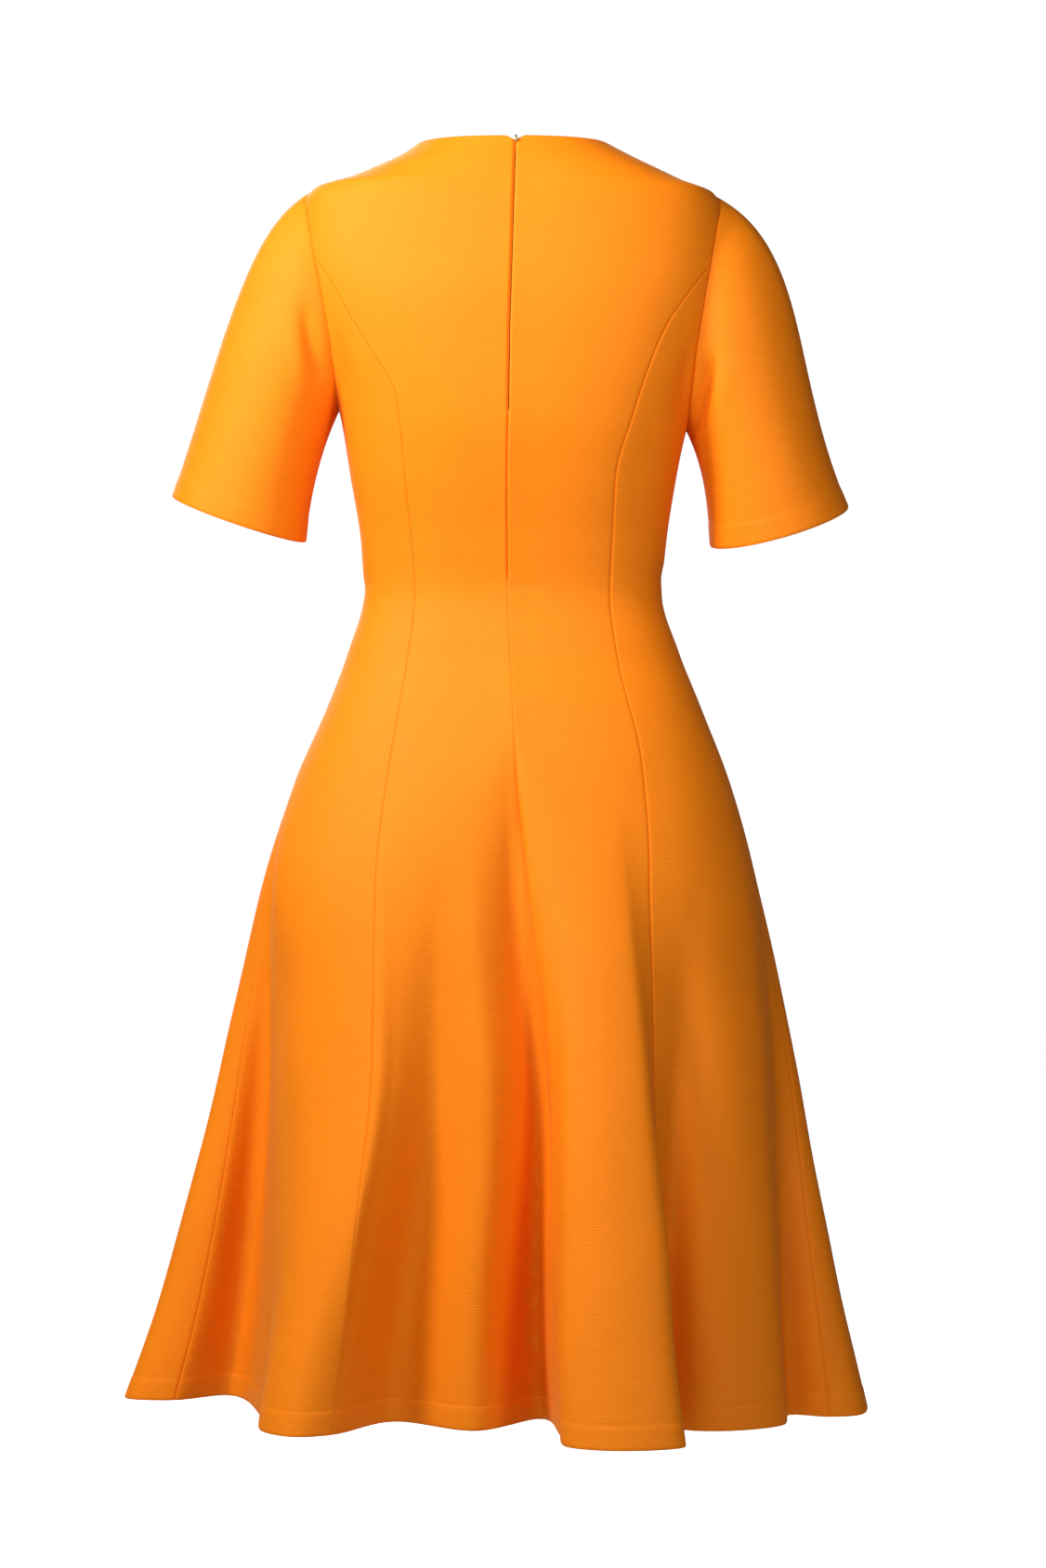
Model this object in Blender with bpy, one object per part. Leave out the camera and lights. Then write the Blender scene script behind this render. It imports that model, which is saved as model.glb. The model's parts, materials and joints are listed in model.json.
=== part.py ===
"""A-line midi dress in double knit, as it hangs when worn, with nobody in it.

The dress is cut in seven long panels with no waist seam: a centre front, two side fronts, two side backs
and two centre backs. Princess seams run from the armholes to the hem, and a concealed zip closes the
centre back seam from the neck to the waist. Two flared elbow-length sleeves are set into the armholes.

Metres. +Z is up, the front faces -Y, the back faces +Y, and the wearer's left is +X. The origin is midway
between the shoulder seams at the side of the neck, where the dress hangs from the wearer.
"""

import bmesh
import bpy
import numpy as np
from mathutils import Vector

# ---- Driving sizes ----
WALL = 0.0016  # thickness of the knit
SEAM_GAP = 0.0003  # between two pieces that are sewn together
HEM_HEIGHT = -1.077
HIP_HEIGHT = -0.548
FOLD_GROWTH = 1.12  # how a fold deepens from its start to the hem: 1 is a straight-sided cone
FOLD_EASE = 0.10  # the share of its length over which a fold eases in

NECK_HALF_WIDTH = 0.080
FRONT_NECK_DROP = 0.080
BACK_NECK_DIP = 0.002  # of the neckline at centre back, below the shoulder seams

ARMHOLE_CENTRE = -0.1385
ARMHOLE_HALF_HEIGHT = 0.0975
ARMHOLE_BACK = 0.057  # how far the armhole reaches behind the shoulder line
ARMHOLE_FRONT = 0.052
PRINCESS_TURN = np.radians(70.0)  # where the princess seams leave the armhole, counted from its top
SHOULDER_TIP = ARMHOLE_CENTRE + ARMHOLE_HALF_HEIGHT
UNDERARM = ARMHOLE_CENTRE - ARMHOLE_HALF_HEIGHT
PRINCESS_TOP = ARMHOLE_CENTRE + ARMHOLE_HALF_HEIGHT * np.cos(PRINCESS_TURN)
PRINCESS_TIP_CUT = 0.002  # the side panels' points are cut blunt by this much

ZIP_LENGTH = 0.375
ZIP_TAPE_TOP = 0.0098  # below the neckline, clear of the slider's neck
ZIP_TAPE_WIDTH = 0.012
ZIP_TAPE_THICKNESS = 0.0010
ZIP_TAPE_STEPS = 3
SLIDER_WIDTH, SLIDER_THICKNESS, SLIDER_LENGTH = 0.0070, 0.0032, 0.0095
SLIDER_TOP = 0.0045  # below the neckline
NECK_THICKNESS = 0.0015  # of the slider's neck, which stands in the notch
PIVOT_DEPTH, PIVOT_PROUD = 0.0052, 0.0012  # the pull's pivot: below the neckline, and out from the cloth
EYE_HALF, EYE_FRAME = 0.0010, 0.0007  # the eye in the slider's neck, and the metal round it
PULL_LENGTH, PULL_THICKNESS = 0.0155, 0.0009
PULL_HALF_WIDTH, PULL_END_HALF_WIDTH = 0.00195, 0.0023
PULL_BAR, PULL_SLOT, PULL_SLOT_HALF = 0.0011, 0.0032, 0.00115
PULL_RISE = np.radians(15.0)  # it leans in over the neckline, this far above level
PULL_TIP_STEPS = 10

ARM_STEPS_ABOVE, ARM_STEPS_BELOW = 5, 7  # rows on the armhole above and below the princess seams
TORSO_ROWS, SKIRT_ROWS, SLEEVE_ROWS = 9, 9, 8
HEM_SAMPLES = 24  # between two rows of HEM_FOLDS
SMALL = 1e-4  # step for slopes

CLOTH_COLOUR = (0.955, 0.305, 0.012, 1.0)
METAL_COLOUR = (0.78, 0.66, 0.42, 1.0)


def table(columns, rows):
    """Named columns of a table, as one array each."""
    return {name: np.array(values) for name, values in zip(columns.split(), zip(*rows))}


# Level sections of the body, before any folds: half widths from the centre line, the back and front of the
# section, the middle that its sides lie on, how far the section tilts up to the wearer's left for each metre
# across, and the power of its rounded-square outline, where 2 is an ellipse.
SECTIONS = table(
    "height left right back front middle tilt power",
    [
        (0.000, 0.080, 0.080, 0.078, -0.012, 0.015, 0.000, 2.3),
        (-0.012, 0.098, 0.104, 0.083, -0.023, 0.012, 0.003, 2.4),
        (-0.022, 0.119, 0.126, 0.087, -0.031, 0.009, 0.006, 2.5),
        (-0.032, 0.143, 0.149, 0.090, -0.039, 0.007, 0.009, 2.5),
        (-0.041, 0.171, 0.173, 0.092, -0.045, 0.005, 0.011, 2.6),
        (-0.055, 0.181, 0.181, 0.095, -0.052, 0.005, 0.014, 2.6),
        (-0.096, 0.185, 0.185, 0.101, -0.070, 0.005, 0.020, 2.6),
        (-0.137, 0.180, 0.180, 0.105, -0.088, 0.005, 0.030, 2.6),
        (-0.185, 0.167, 0.167, 0.103, -0.108, 0.005, 0.043, 2.6),
        (-0.236, 0.149, 0.149, 0.099, -0.124, 0.005, 0.058, 2.6),
        (-0.289, 0.139, 0.139, 0.088, -0.130, 0.005, 0.025, 2.6),
        (-0.345, 0.130, 0.131, 0.076, -0.112, 0.005, 0.006, 2.5),
        (-0.385, 0.128, 0.128, 0.071, -0.099, 0.003, 0.000, 2.5),
        (-0.433, 0.141, 0.142, 0.080, -0.108, 0.002, 0.000, 2.5),
        (-0.481, 0.159, 0.161, 0.098, -0.122, 0.002, 0.000, 2.5),
        (-0.545, 0.187, 0.186, 0.119, -0.138, 0.000, 0.000, 2.4),
        (-0.625, 0.215, 0.208, 0.138, -0.155, 0.000, 0.000, 2.4),
        (-0.737, 0.241, 0.230, 0.156, -0.177, -0.010, 0.000, 2.3),
        (-0.865, 0.269, 0.251, 0.172, -0.196, -0.010, 0.000, 2.3),
        (-0.993, 0.303, 0.277, 0.185, -0.212, -0.010, 0.000, 2.3),
        (-1.077, 0.331, 0.297, 0.193, -0.222, -0.010, 0.000, 2.3),
    ],
)

# The long seams: how far each lies to the wearer's left of the centre line. The side seams lie on the
# sections' widest points, but the right one turns towards the back on its way down, by side_turn degrees.
SEAMS = table(
    "height centre_back left_back right_back left_front right_front side_turn",
    [
        (0.000, -0.0030, 0.168, -0.168, 0.168, -0.168, 0.0),
        (-0.130, 0.0010, 0.153, -0.149, 0.145, -0.145, 0.0),
        (-0.160, 0.0020, 0.137, -0.129, 0.128, -0.128, 0.0),
        (-0.190, 0.0025, 0.119, -0.116, 0.114, -0.114, 0.0),
        (-0.225, 0.0030, 0.099, -0.104, 0.102, -0.102, 0.0),
        (-0.290, 0.0040, 0.091, -0.087, 0.092, -0.092, 0.0),
        (-0.388, 0.0035, 0.083, -0.083, 0.080, -0.080, 0.0),
        (-0.450, 0.0010, 0.090, -0.090, 0.088, -0.088, 0.0),
        (-0.530, -0.0030, 0.103, -0.109, 0.105, -0.105, 0.0),
        (-0.625, -0.0050, 0.114, -0.118, 0.120, -0.120, 3.0),
        (-0.795, -0.0210, 0.121, -0.118, 0.155, -0.155, 14.0),
        (-0.931, -0.0280, 0.134, -0.130, 0.185, -0.188, 24.0),
        (-1.077, -0.0380, 0.146, -0.136, 0.215, -0.220, 32.0),
    ],
)

# The hem in plan, from the centre back round by the wearer's left: a row for each crest, valley and seam,
# with the height at which that crest or valley begins to form.
HEM_FOLDS = table(
    "name across back starts",
    [
        ("centre back seam", -0.038, 0.190, -0.515),
        ("valley beside the centre back", -0.024, 0.108, -0.505),
        ("left back crest", 0.030, 0.168, -0.560),
        ("left back valley", 0.098, 0.116, -0.595),
        ("left back princess seam", 0.146, 0.187, -0.600),
        ("left side crest", 0.176, 0.198, -0.570),
        ("left side corner", 0.204, 0.172, -0.585),
        ("left side flank", 0.213, 0.085, -0.600),
        ("left side recess", 0.230, -0.014, -0.570),
        ("left side seam", 0.290, 0.012, -0.560),
        ("left bulge", 0.334, 0.000, -0.560),
        ("left front valley", 0.264, -0.130, -0.590),
        ("left front crest", 0.246, -0.200, -0.590),
        ("left front princess seam", 0.215, -0.236, -0.590),
        ("front crest on the left", 0.180, -0.246, -0.560),
        ("front valley on the left", 0.100, -0.196, -0.600),
        ("centre front crest", -0.008, -0.262, -0.560),
        ("front valley on the right", -0.095, -0.200, -0.600),
        ("front crest on the right", -0.172, -0.242, -0.560),
        ("right front princess seam", -0.220, -0.165, -0.590),
        ("right front valley", -0.233, -0.098, -0.590),
        ("right bulge", -0.298, 0.010, -0.570),
        ("right corner", -0.292, 0.088, -0.570),
        ("right side seam", -0.265, 0.098, -0.570),
        ("right side recess", -0.233, 0.088, -0.590),
        ("right side corner", -0.224, 0.140, -0.590),
        ("right side crest", -0.186, 0.166, -0.590),
        ("right side flank", -0.150, 0.168, -0.600),
        ("right back princess seam", -0.120, 0.148, -0.625),
        ("flank of the centre fold", -0.126, 0.200, -0.590),
        ("right edge of the centre fold", -0.138, 0.246, -0.560),
        ("crest of the centre fold", -0.085, 0.263, -0.545),
        ("left edge of the centre fold", -0.044, 0.245, -0.540),
    ],
)
PANELS = [
    "center_back_left",
    "side_back_left",
    "side_front_left",
    "center_front",
    "side_front_right",
    "side_back_right",
    "center_back_right",
]
COLUMNS = {"center_front": 20, "center_back": 12, "side_back": 12, "side_front": 10}

# The notch where the two back panels turn away from each other above the zip.
NOTCH = table(
    "height opening",
    [(0.0, 0.0072), (-0.0040, 0.0028), (-0.0065, 0.0013), (-0.0095, 0.0)],
)

# A sleeve leaves the armhole and meets its hem in these directions, given for the wearer's left: at the
# shoulder, the back, the underarm and the front. The reach is how far it holds on in that direction.
SLEEVE_LINES = table(
    "place leave_out leave_back leave_down leave_reach arrive_out arrive_down arrive_reach",
    [
        ("shoulder", 0.90, 0.00, 0.44, 0.066, 0.33, 0.94, 0.120),
        ("back", 0.70, 0.25, 0.67, 0.045, 0.30, 0.95, 0.090),
        ("underarm", 0.46, 0.00, 0.89, 0.034, 0.06, 1.00, 0.035),
        ("front", 0.70, -0.25, 0.67, 0.045, 0.30, 0.95, 0.090),
    ],
)
SLEEVE_HEM_HALF_DEPTH = 0.060
# Each sleeve's hem: its outer and inner corner, out from the centre line and up, and how far it hangs lower
# at the back than at the front. The cap is how much further the sleeve holds on over the shoulder, and slim
# is how far it is drawn in below that.
SLEEVES = {
    row[0]: dict(zip("side outer_out outer_up inner_out inner_up back_drop cap slim".split(), row))
    for row in [
        (1, 0.293, -0.300, 0.178, -0.3395, 0.0165, 0.000, 0.000),
        (-1, 0.289, -0.309, 0.170, -0.3430, 0.0270, 0.027, 0.011),
    ]
}


# ---- Curves and sections ----
def through(heights, values, at):
    """A curve through the rows of a table that never overshoots between two of them."""
    order = np.argsort(heights)
    x, y = heights[order], values[order]
    gap = np.diff(x)
    slope = np.diff(y) / gap
    product = slope[:-1] * slope[1:]
    total = np.where(product > 0, slope[:-1] + slope[1:], 1.0)
    inner = np.where(product > 0, 2 * product / total, 0.0)
    slopes = np.concatenate([slope[:1], inner, slope[-1:]])
    at = np.clip(at, x[0], x[-1])
    i = np.clip(np.searchsorted(x, at) - 1, 0, len(x) - 2)
    t = (at - x[i]) / gap[i]
    rise = y[i] + (y[i + 1] - y[i]) * t * t * (3 - 2 * t)
    return rise + gap[i] * t * (1 - t) * ((1 - t) * slopes[i] - t * slopes[i + 1])


def section(name, height):
    return through(SECTIONS["height"], SECTIONS[name], height)


def ring(height, angle):
    """The point of the level section at this height, at this angle from centre back by the wearer's left."""
    sine, cosine = np.sin(angle), np.cos(angle)
    power, middle = section("power", height), section("middle", height)
    reach = (np.abs(sine) ** power + np.abs(cosine) ** power) ** (-1 / power)
    half = np.where(sine >= 0, section("left", height), section("right", height))
    depth = np.where(cosine >= 0, section("back", height) - middle, middle - section("front", height))
    across = half * sine * reach
    at_neck = np.clip(1 - height / SHOULDER_TIP, 0, 1)
    dip = BACK_NECK_DIP * cosine**2 * at_neck
    up = height - dip + across * section("tilt", height)
    return np.stack(np.broadcast_arrays(across, middle + depth * cosine * reach, up), axis=-1)


def turn_across(height, across):
    """The angle from centre back or centre front of the section's point this far from the centre line."""
    half = np.where(across >= 0, section("left", height), section("right", height))
    power = section("power", height)
    share = np.clip(np.abs(across) / half, 0, 1)
    return np.sign(across) * np.arctan2(share, (1 - share**power) ** (1 / power))


def armhole_turn(height, front):
    """The same for the armhole's edge. Above and below the armhole it is a quarter turn, the side."""
    share = np.sqrt(np.clip(1 - ((height - ARMHOLE_CENTRE) / ARMHOLE_HALF_HEIGHT) ** 2, 0, 1))
    power, middle = section("power", height), section("middle", height)
    if front:
        depth = share * ARMHOLE_FRONT / (middle - section("front", height))
    else:
        depth = share * ARMHOLE_BACK / (section("back", height) - middle)
    return np.arctan2((1 - depth**power) ** (1 / power), depth)


def seam_turn(name, height, front=False):
    """A princess seam's angle, which follows the armhole and the shoulder seam above its top."""
    top = armhole_turn(np.array(PRINCESS_TOP), front)
    start = abs(ring(np.array(PRINCESS_TOP), np.pi - top if front else top)[0])
    below = SEAMS["height"] < PRINCESS_TOP
    heights = np.concatenate([[PRINCESS_TOP], SEAMS["height"][below]])
    across = np.concatenate([[start], np.abs(SEAMS[name][below])])
    turn = turn_across(height, through(heights, across, height))
    return np.where(height > PRINCESS_TOP - SMALL / 10, armhole_turn(height, front), turn)


def seam_angle(number, height, opening=0.0, front=False):
    """The angle of seam 0 to 7, from centre back by the wearer's left and round to centre back again."""
    if number in (0, 7):
        across = through(SEAMS["height"], SEAMS["centre_back"], height) + opening
        return turn_across(height, across) + (2 * np.pi if number else 0)
    if number == 1:
        return seam_turn("left_back", height)
    if number == 2:
        return np.pi - armhole_turn(height, True) if front else armhole_turn(height, False)
    if number == 3:
        return np.pi - seam_turn("left_front", height, True)
    if number == 4:
        return np.pi + seam_turn("right_front", height, True)
    if number == 5:
        turn = armhole_turn(height, front)
        back = np.radians(through(SEAMS["height"], SEAMS["side_turn"], height))
        return (np.pi + turn if front else 2 * np.pi - turn) + back
    return 2 * np.pi - seam_turn("right_back", height)


def hem_line():
    """The hem as a closed smooth curve: seam number, across, back and start height, close together.

    Seam numbers grow evenly with the cloth's width between two seams."""
    rows = np.stack([HEM_FOLDS[name] for name in ("across", "back", "starts")], axis=1)
    count = len(rows)
    points, numbers = [], []
    for i in range(count):
        before, start, end, after = (rows[(i + k) % count] for k in (-1, 0, 1, 2))
        lengths = [np.linalg.norm((b - a)[:2]) ** 0.5 for a, b in ((before, start), (start, end), (end, after))]
        leave = (start - before) / lengths[0] - (end - before) / (lengths[0] + lengths[1])
        leave = (leave + (end - start) / lengths[1]) * lengths[1]
        arrive = (end - start) / lengths[1] - (after - start) / (lengths[1] + lengths[2])
        arrive = (arrive + (after - end) / lengths[2]) * lengths[1]
        t = np.linspace(0, 1, HEM_SAMPLES, endpoint=False)[:, None]
        smooth = start + (end - start) * t * t * (3 - 2 * t)
        points.append(smooth + t * (1 - t) * ((1 - t) * leave - t * arrive))
        numbers.append("seam" in HEM_FOLDS["name"][i])
    points = np.concatenate(points + [points[0][:1]])
    length = np.concatenate([[0], np.cumsum(np.linalg.norm(np.diff(points[:, :2], axis=0), axis=1))])
    at_seam = [i * HEM_SAMPLES for i in range(count) if numbers[i]] + [len(points) - 1]
    return np.interp(length, length[at_seam], range(len(at_seam))), points


HEM_NUMBER, HEM_POINTS = hem_line()


def skirt_angle(number, height):
    """The section's angle at a seam number, such as 1.5 for halfway between seams 1 and 2."""
    number, height = np.broadcast_arrays(np.mod(number, 7), height)
    whole = np.floor(number).astype(int)
    share = number - whole
    seams = np.stack([seam_angle(i, height) for i in range(8)])
    start = np.take_along_axis(seams, whole[None], axis=0)[0]
    end = np.take_along_axis(seams, whole[None] + 1, axis=0)[0]
    return start * (1 - share) + end * share


def body(number, height):
    """The outer face of the dress below the underarms: the level section, moved by its share of the hem's folds."""
    point = ring(height, skirt_angle(number, height))
    number = np.mod(number, 7)
    across, back, starts = (np.interp(number, HEM_NUMBER, HEM_POINTS[:, i]) for i in range(3))
    plain = ring(np.array(HEM_HEIGHT), skirt_angle(number, np.array(HEM_HEIGHT)))
    grown = np.clip((starts - height) / (starts - HEM_HEIGHT), 0, 1)
    growth = grown**FOLD_GROWTH * (1 - np.exp(-grown / FOLD_EASE))
    moved = np.stack([across - plain[..., 0], back - plain[..., 1], np.zeros_like(across)], axis=-1)
    return point + moved * growth[..., None]


def unit(vectors):
    return vectors / np.linalg.norm(vectors, axis=-1, keepdims=True)


def body_normal(number, height):
    around = body(number + SMALL * 100, height) - body(number - SMALL * 100, height)
    down = body(number, height - SMALL) - body(number, height + SMALL)
    return unit(np.cross(around, down))


def ring_normal(height, angle):
    around = ring(height, angle + SMALL) - ring(height, angle - SMALL)
    down = ring(height - SMALL, angle) - ring(np.minimum(height + SMALL, 0), angle)
    return unit(np.cross(around, down))


# ---- Panels ----
def heights_below(top):
    """The heights of the rows of points that all panels share, from this one down."""
    neck = list(NOTCH["height"]) + [-0.020, -0.030]
    above = np.linspace(0, PRINCESS_TURN, ARM_STEPS_ABOVE + 1)
    below = np.linspace(PRINCESS_TURN, np.pi, ARM_STEPS_BELOW + 1)
    turns = np.concatenate([above, below[1:]])
    arm = list(ARMHOLE_CENTRE + ARMHOLE_HALF_HEIGHT * np.cos(turns)) + [PRINCESS_TOP - PRINCESS_TIP_CUT]
    torso = list(np.linspace(UNDERARM, HIP_HEIGHT, TORSO_ROWS + 1)[1:])
    skirt = list(np.linspace(HIP_HEIGHT, HEM_HEIGHT, SKIRT_ROWS + 1)[1:])
    rows = sorted(neck + arm + torso + skirt, reverse=True)
    return np.array([height for height in rows if height <= top + SMALL / 10])


def panel_edges(number, heights):
    """The angles of a panel's two long edges in each row."""
    opening = through(NOTCH["height"], NOTCH["opening"], heights)
    front = PANELS[number].startswith(("side_front", "center_front"))
    start = seam_angle(number, heights, opening, front)
    end = seam_angle(number + 1, heights, -opening, front)
    return start, end


def neckline(share):
    """The front neckline's drop, and its angle from the shoulder as a share of a quarter turn."""
    drop = FRONT_NECK_DROP * np.sin(share * np.pi / 2)
    across = NECK_HALF_WIDTH * np.cos(share * np.pi / 2)
    return drop, 1 - turn_across(-drop, across) / (np.pi / 2)


def panel_points(number, heights, shares):
    """Outer points and normals of a panel: a row for each height, a column for each share of its width."""
    start, end = (edge[:, None] for edge in panel_edges(number, heights))
    height, share = np.broadcast_arrays(heights[:, None], shares[None])
    if PANELS[number] == "center_front":
        inward = 1 - np.abs(2 * share - 1)
        near_neck = np.clip(1 - height / UNDERARM, 0, 1)
        drop, turned = neckline(inward)
        height = height - near_neck * drop
        inward = near_neck * turned + (1 - near_neck) * inward
        angle = np.where(share <= 0.5, start + (np.pi - start) * inward, end - (end - np.pi) * inward)
    else:
        angle = start + (end - start) * share
    above = (heights > UNDERARM)[:, None, None]
    points = np.where(above, ring(height, angle), body(number + share, height))
    normals = np.where(above, ring_normal(height, angle), body_normal(number + share, height))
    return points, normals


def part_edge(points, side):
    """Moves a grid's first or last column in by half of the gap that sewn pieces keep."""
    edge, inner = (0, 1) if side == 0 else (-1, -2)
    points[:, edge] += unit(points[:, inner] - points[:, edge]) * SEAM_GAP / 2


def wall(name, points, normals, thickness, material, around=False):
    """A closed wall between a grid of outer points and the same points moved in along their normals.

    The normals are the whole garment's, so that the cut edges of two sewn pieces stay side by side."""
    rows, columns = points.shape[:2]
    mesh = bmesh.new()
    layers = [
        [[mesh.verts.new(point) for point in row] for row in layer]
        for layer in (points, points - normals * thickness)
    ]
    outer, inner = layers
    for r in range(rows - 1):
        for c in range(columns if around else columns - 1):
            n = (c + 1) % columns
            mesh.faces.new((outer[r][c], outer[r][n], outer[r + 1][n], outer[r + 1][c]))
            mesh.faces.new((inner[r][c], inner[r + 1][c], inner[r + 1][n], inner[r][n]))
    for c in range(columns if around else columns - 1):
        n = (c + 1) % columns
        mesh.faces.new((outer[0][c], inner[0][c], inner[0][n], outer[0][n]))
        mesh.faces.new((outer[-1][c], outer[-1][n], inner[-1][n], inner[-1][c]))
    if not around:
        for r in range(rows - 1):
            mesh.faces.new((outer[r][0], outer[r + 1][0], inner[r + 1][0], inner[r][0]))
            mesh.faces.new((outer[r][-1], inner[r][-1], inner[r + 1][-1], outer[r + 1][-1]))
    return add_mesh(name, mesh, material)


def make_panel(number, material):
    name = PANELS[number]
    side_panel = name.startswith("side")
    heights = heights_below(PRINCESS_TOP - PRINCESS_TIP_CUT if side_panel else 0.0)
    columns = next(count for start, count in COLUMNS.items() if name.startswith(start))
    points, normals = panel_points(number, heights, np.linspace(0, 1, columns + 1))
    part_edge(points, 0)
    part_edge(points, 1)
    return wall(name, points, normals, WALL, material)


# ---- Sleeves ----
def armhole_loop(side):
    """Points and normals of the armhole's edge, from the shoulder round by the back and the underarm."""
    above = np.linspace(0, PRINCESS_TURN, ARM_STEPS_ABOVE + 1)
    below = np.linspace(PRINCESS_TURN, np.pi, ARM_STEPS_BELOW + 1)
    back = np.concatenate([above, below[1:]])
    turns = np.concatenate([back, 2 * np.pi - back[-2:0:-1]])
    heights = ARMHOLE_CENTRE + ARMHOLE_HALF_HEIGHT * np.cos(turns)
    front = turns > np.pi
    angle = np.where(front, np.pi - armhole_turn(heights, True), armhole_turn(heights, False))
    angle = angle if side > 0 else 2 * np.pi - angle
    return turns, ring(heights, angle), ring_normal(heights, angle)


def sleeve_line(column, turns):
    """A column of SLEEVE_LINES, eased from place to place round the sleeve."""
    top, back, under, front = SLEEVE_LINES[column]
    cosine, sine = np.cos(turns), np.sin(turns)
    ends = np.where(cosine > 0, top, under) * cosine**2
    return ends + np.where(sine > 0, back, front) * sine**2


def sleeve_points(side, turns, armhole, rows):
    """Rows of outer points from the armhole to the sleeve's hem, each on a smooth line that leaves and
    arrives in the directions of SLEEVE_LINES."""
    leave = np.stack([sleeve_line(f"leave_{way}", turns) for way in ("out", "back", "down")], axis=-1)
    arrive = np.stack([sleeve_line("arrive_out", turns), 0 * turns, sleeve_line("arrive_down", turns)], axis=-1)
    leave = unit(leave) * (side, 1, -1)
    arrive = unit(arrive) * (side, 1, -1)
    sleeve = SLEEVES[side]
    outer = np.array([side * sleeve["outer_out"], 0.0, sleeve["outer_up"]])
    inner = np.array([side * sleeve["inner_out"], 0.0, sleeve["inner_up"]])
    cosine, sine = np.cos(turns)[:, None], np.sin(turns)[:, None]
    deep = np.array([0.0, SLEEVE_HEM_HALF_DEPTH, -sleeve["back_drop"] / 2])
    hem = (outer + inner) / 2 + (outer - inner) / 2 * cosine + deep * sine
    start = armhole + leave * SEAM_GAP / 2
    outer_side = np.clip(cosine, 0, 1) ** 2
    held = start + leave * (sleeve_line("leave_reach", turns)[:, None] + sleeve["cap"] * outer_side)
    coming = hem - arrive * sleeve_line("arrive_reach", turns)[:, None]
    coming = coming - outer_side * (side * sleeve["slim"], 0.0, 0.0)
    t = np.linspace(0, 1, rows + 1)[:, None, None]
    u = 1 - t
    return u**3 * start + 3 * u * u * t * held + 3 * u * t * t * coming + t**3 * hem


def make_sleeve(name, side, material):
    turns, armhole, seam_normals = armhole_loop(side)
    points = sleeve_points(side, turns, armhole, SLEEVE_ROWS)
    if side < 0:
        points, seam_normals = points[:, ::-1], seam_normals[::-1]
    around = np.roll(points, -1, axis=1) - np.roll(points, 1, axis=1)
    down = np.gradient(points, axis=0)
    normals = -unit(np.cross(around, down))
    alike = np.clip(np.sum(normals[0] * seam_normals, axis=-1), 0, 1)[:, None]
    normals[0] = unit(normals[0] * (1 - alike) + seam_normals * alike)
    return wall(name, points[:, ::-1], normals[:, ::-1], WALL, material, around=True)


# ---- Zip ----
def make_tape(name, number, side, material):
    """A strip along the inside of the centre back seam, made from its panel's points moved in."""
    heights = heights_below(-ZIP_TAPE_TOP)
    heights = np.concatenate([[-ZIP_TAPE_TOP], heights[heights > -ZIP_LENGTH], [-ZIP_LENGTH]])
    fine = np.linspace(0, 1, 4 * COLUMNS["center_back"] + 1)
    points, _ = panel_points(number, heights, fine)
    width = np.linalg.norm(points[:, -1] - points[:, 0], axis=-1)
    strip = np.linspace(0, ZIP_TAPE_WIDTH, ZIP_TAPE_STEPS + 1)
    share = strip[None] / width[:, None]
    share = share if side > 0 else 1 - share[:, ::-1]
    rows = [panel_points(number, heights[i : i + 1], share[i]) for i in range(len(heights))]
    points = np.concatenate([row[0] for row in rows])
    normals = np.concatenate([row[1] for row in rows])
    part_edge(points, 0 if side > 0 else 1)
    return wall(name, points - normals * (WALL + SEAM_GAP), normals, ZIP_TAPE_THICKNESS, material)


def zip_head():
    """An empty on the cloth at the top of the centre back seam: its Z runs up the cloth, its Y out of it."""
    angle = seam_angle(0, np.array(0.0))
    normal = Vector(ring_normal(np.array(0.0), angle))
    normal.x = 0
    head = bpy.data.objects.new("zip_head", None)
    head.location = ring(np.array(0.0), angle)
    head.rotation_euler.x = np.arctan2(normal.z, normal.y)
    COLLECTION.objects.link(head)
    return head


def block(name, low, high, material, collection):
    """A box between two corners in the zip head's frame."""
    mesh = bmesh.new()
    bmesh.ops.create_cube(mesh, size=1)
    low, high = Vector(low), Vector(high)
    bmesh.ops.scale(mesh, vec=high - low, verts=mesh.verts)
    bmesh.ops.translate(mesh, vec=(low + high) / 2, verts=mesh.verts)
    return add_mesh(name, mesh, material, collection)


def boolean(target, other, operation):
    other.hide_render = True
    other.display_type = "WIRE"
    modifier = target.modifiers.new(operation.title(), "BOOLEAN")
    modifier.operation = operation
    modifier.object = other


def make_slider(head, material):
    """The slider's body lies inside the tapes, and its neck stands out through the notch with an eye."""
    behind = -(WALL + 2 * SEAM_GAP + ZIP_TAPE_THICKNESS) - SEAM_GAP
    low = (-SLIDER_WIDTH / 2, behind - SLIDER_THICKNESS, -SLIDER_TOP - SLIDER_LENGTH)
    slider = block("zip_slider", low, (SLIDER_WIDTH / 2, behind, -SLIDER_TOP), material, COLLECTION)
    frame = EYE_HALF + EYE_FRAME
    neck_low = (-NECK_THICKNESS / 2, behind - SLIDER_THICKNESS / 2, -PIVOT_DEPTH - frame)
    neck_high = (NECK_THICKNESS / 2, PIVOT_PROUD + frame, -PIVOT_DEPTH + frame)
    eye_low = (-NECK_THICKNESS, PIVOT_PROUD - EYE_HALF, -PIVOT_DEPTH - EYE_HALF)
    eye_high = (NECK_THICKNESS, PIVOT_PROUD + EYE_HALF, -PIVOT_DEPTH + EYE_HALF)
    neck = block("slider_neck", neck_low, neck_high, material, HELPERS)
    eye = block("slider_eye", eye_low, eye_high, material, HELPERS)
    for piece in (slider, neck, eye):
        piece.parent = head
    boolean(slider, neck, "UNION")
    boolean(slider, eye, "DIFFERENCE")
    return slider


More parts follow.
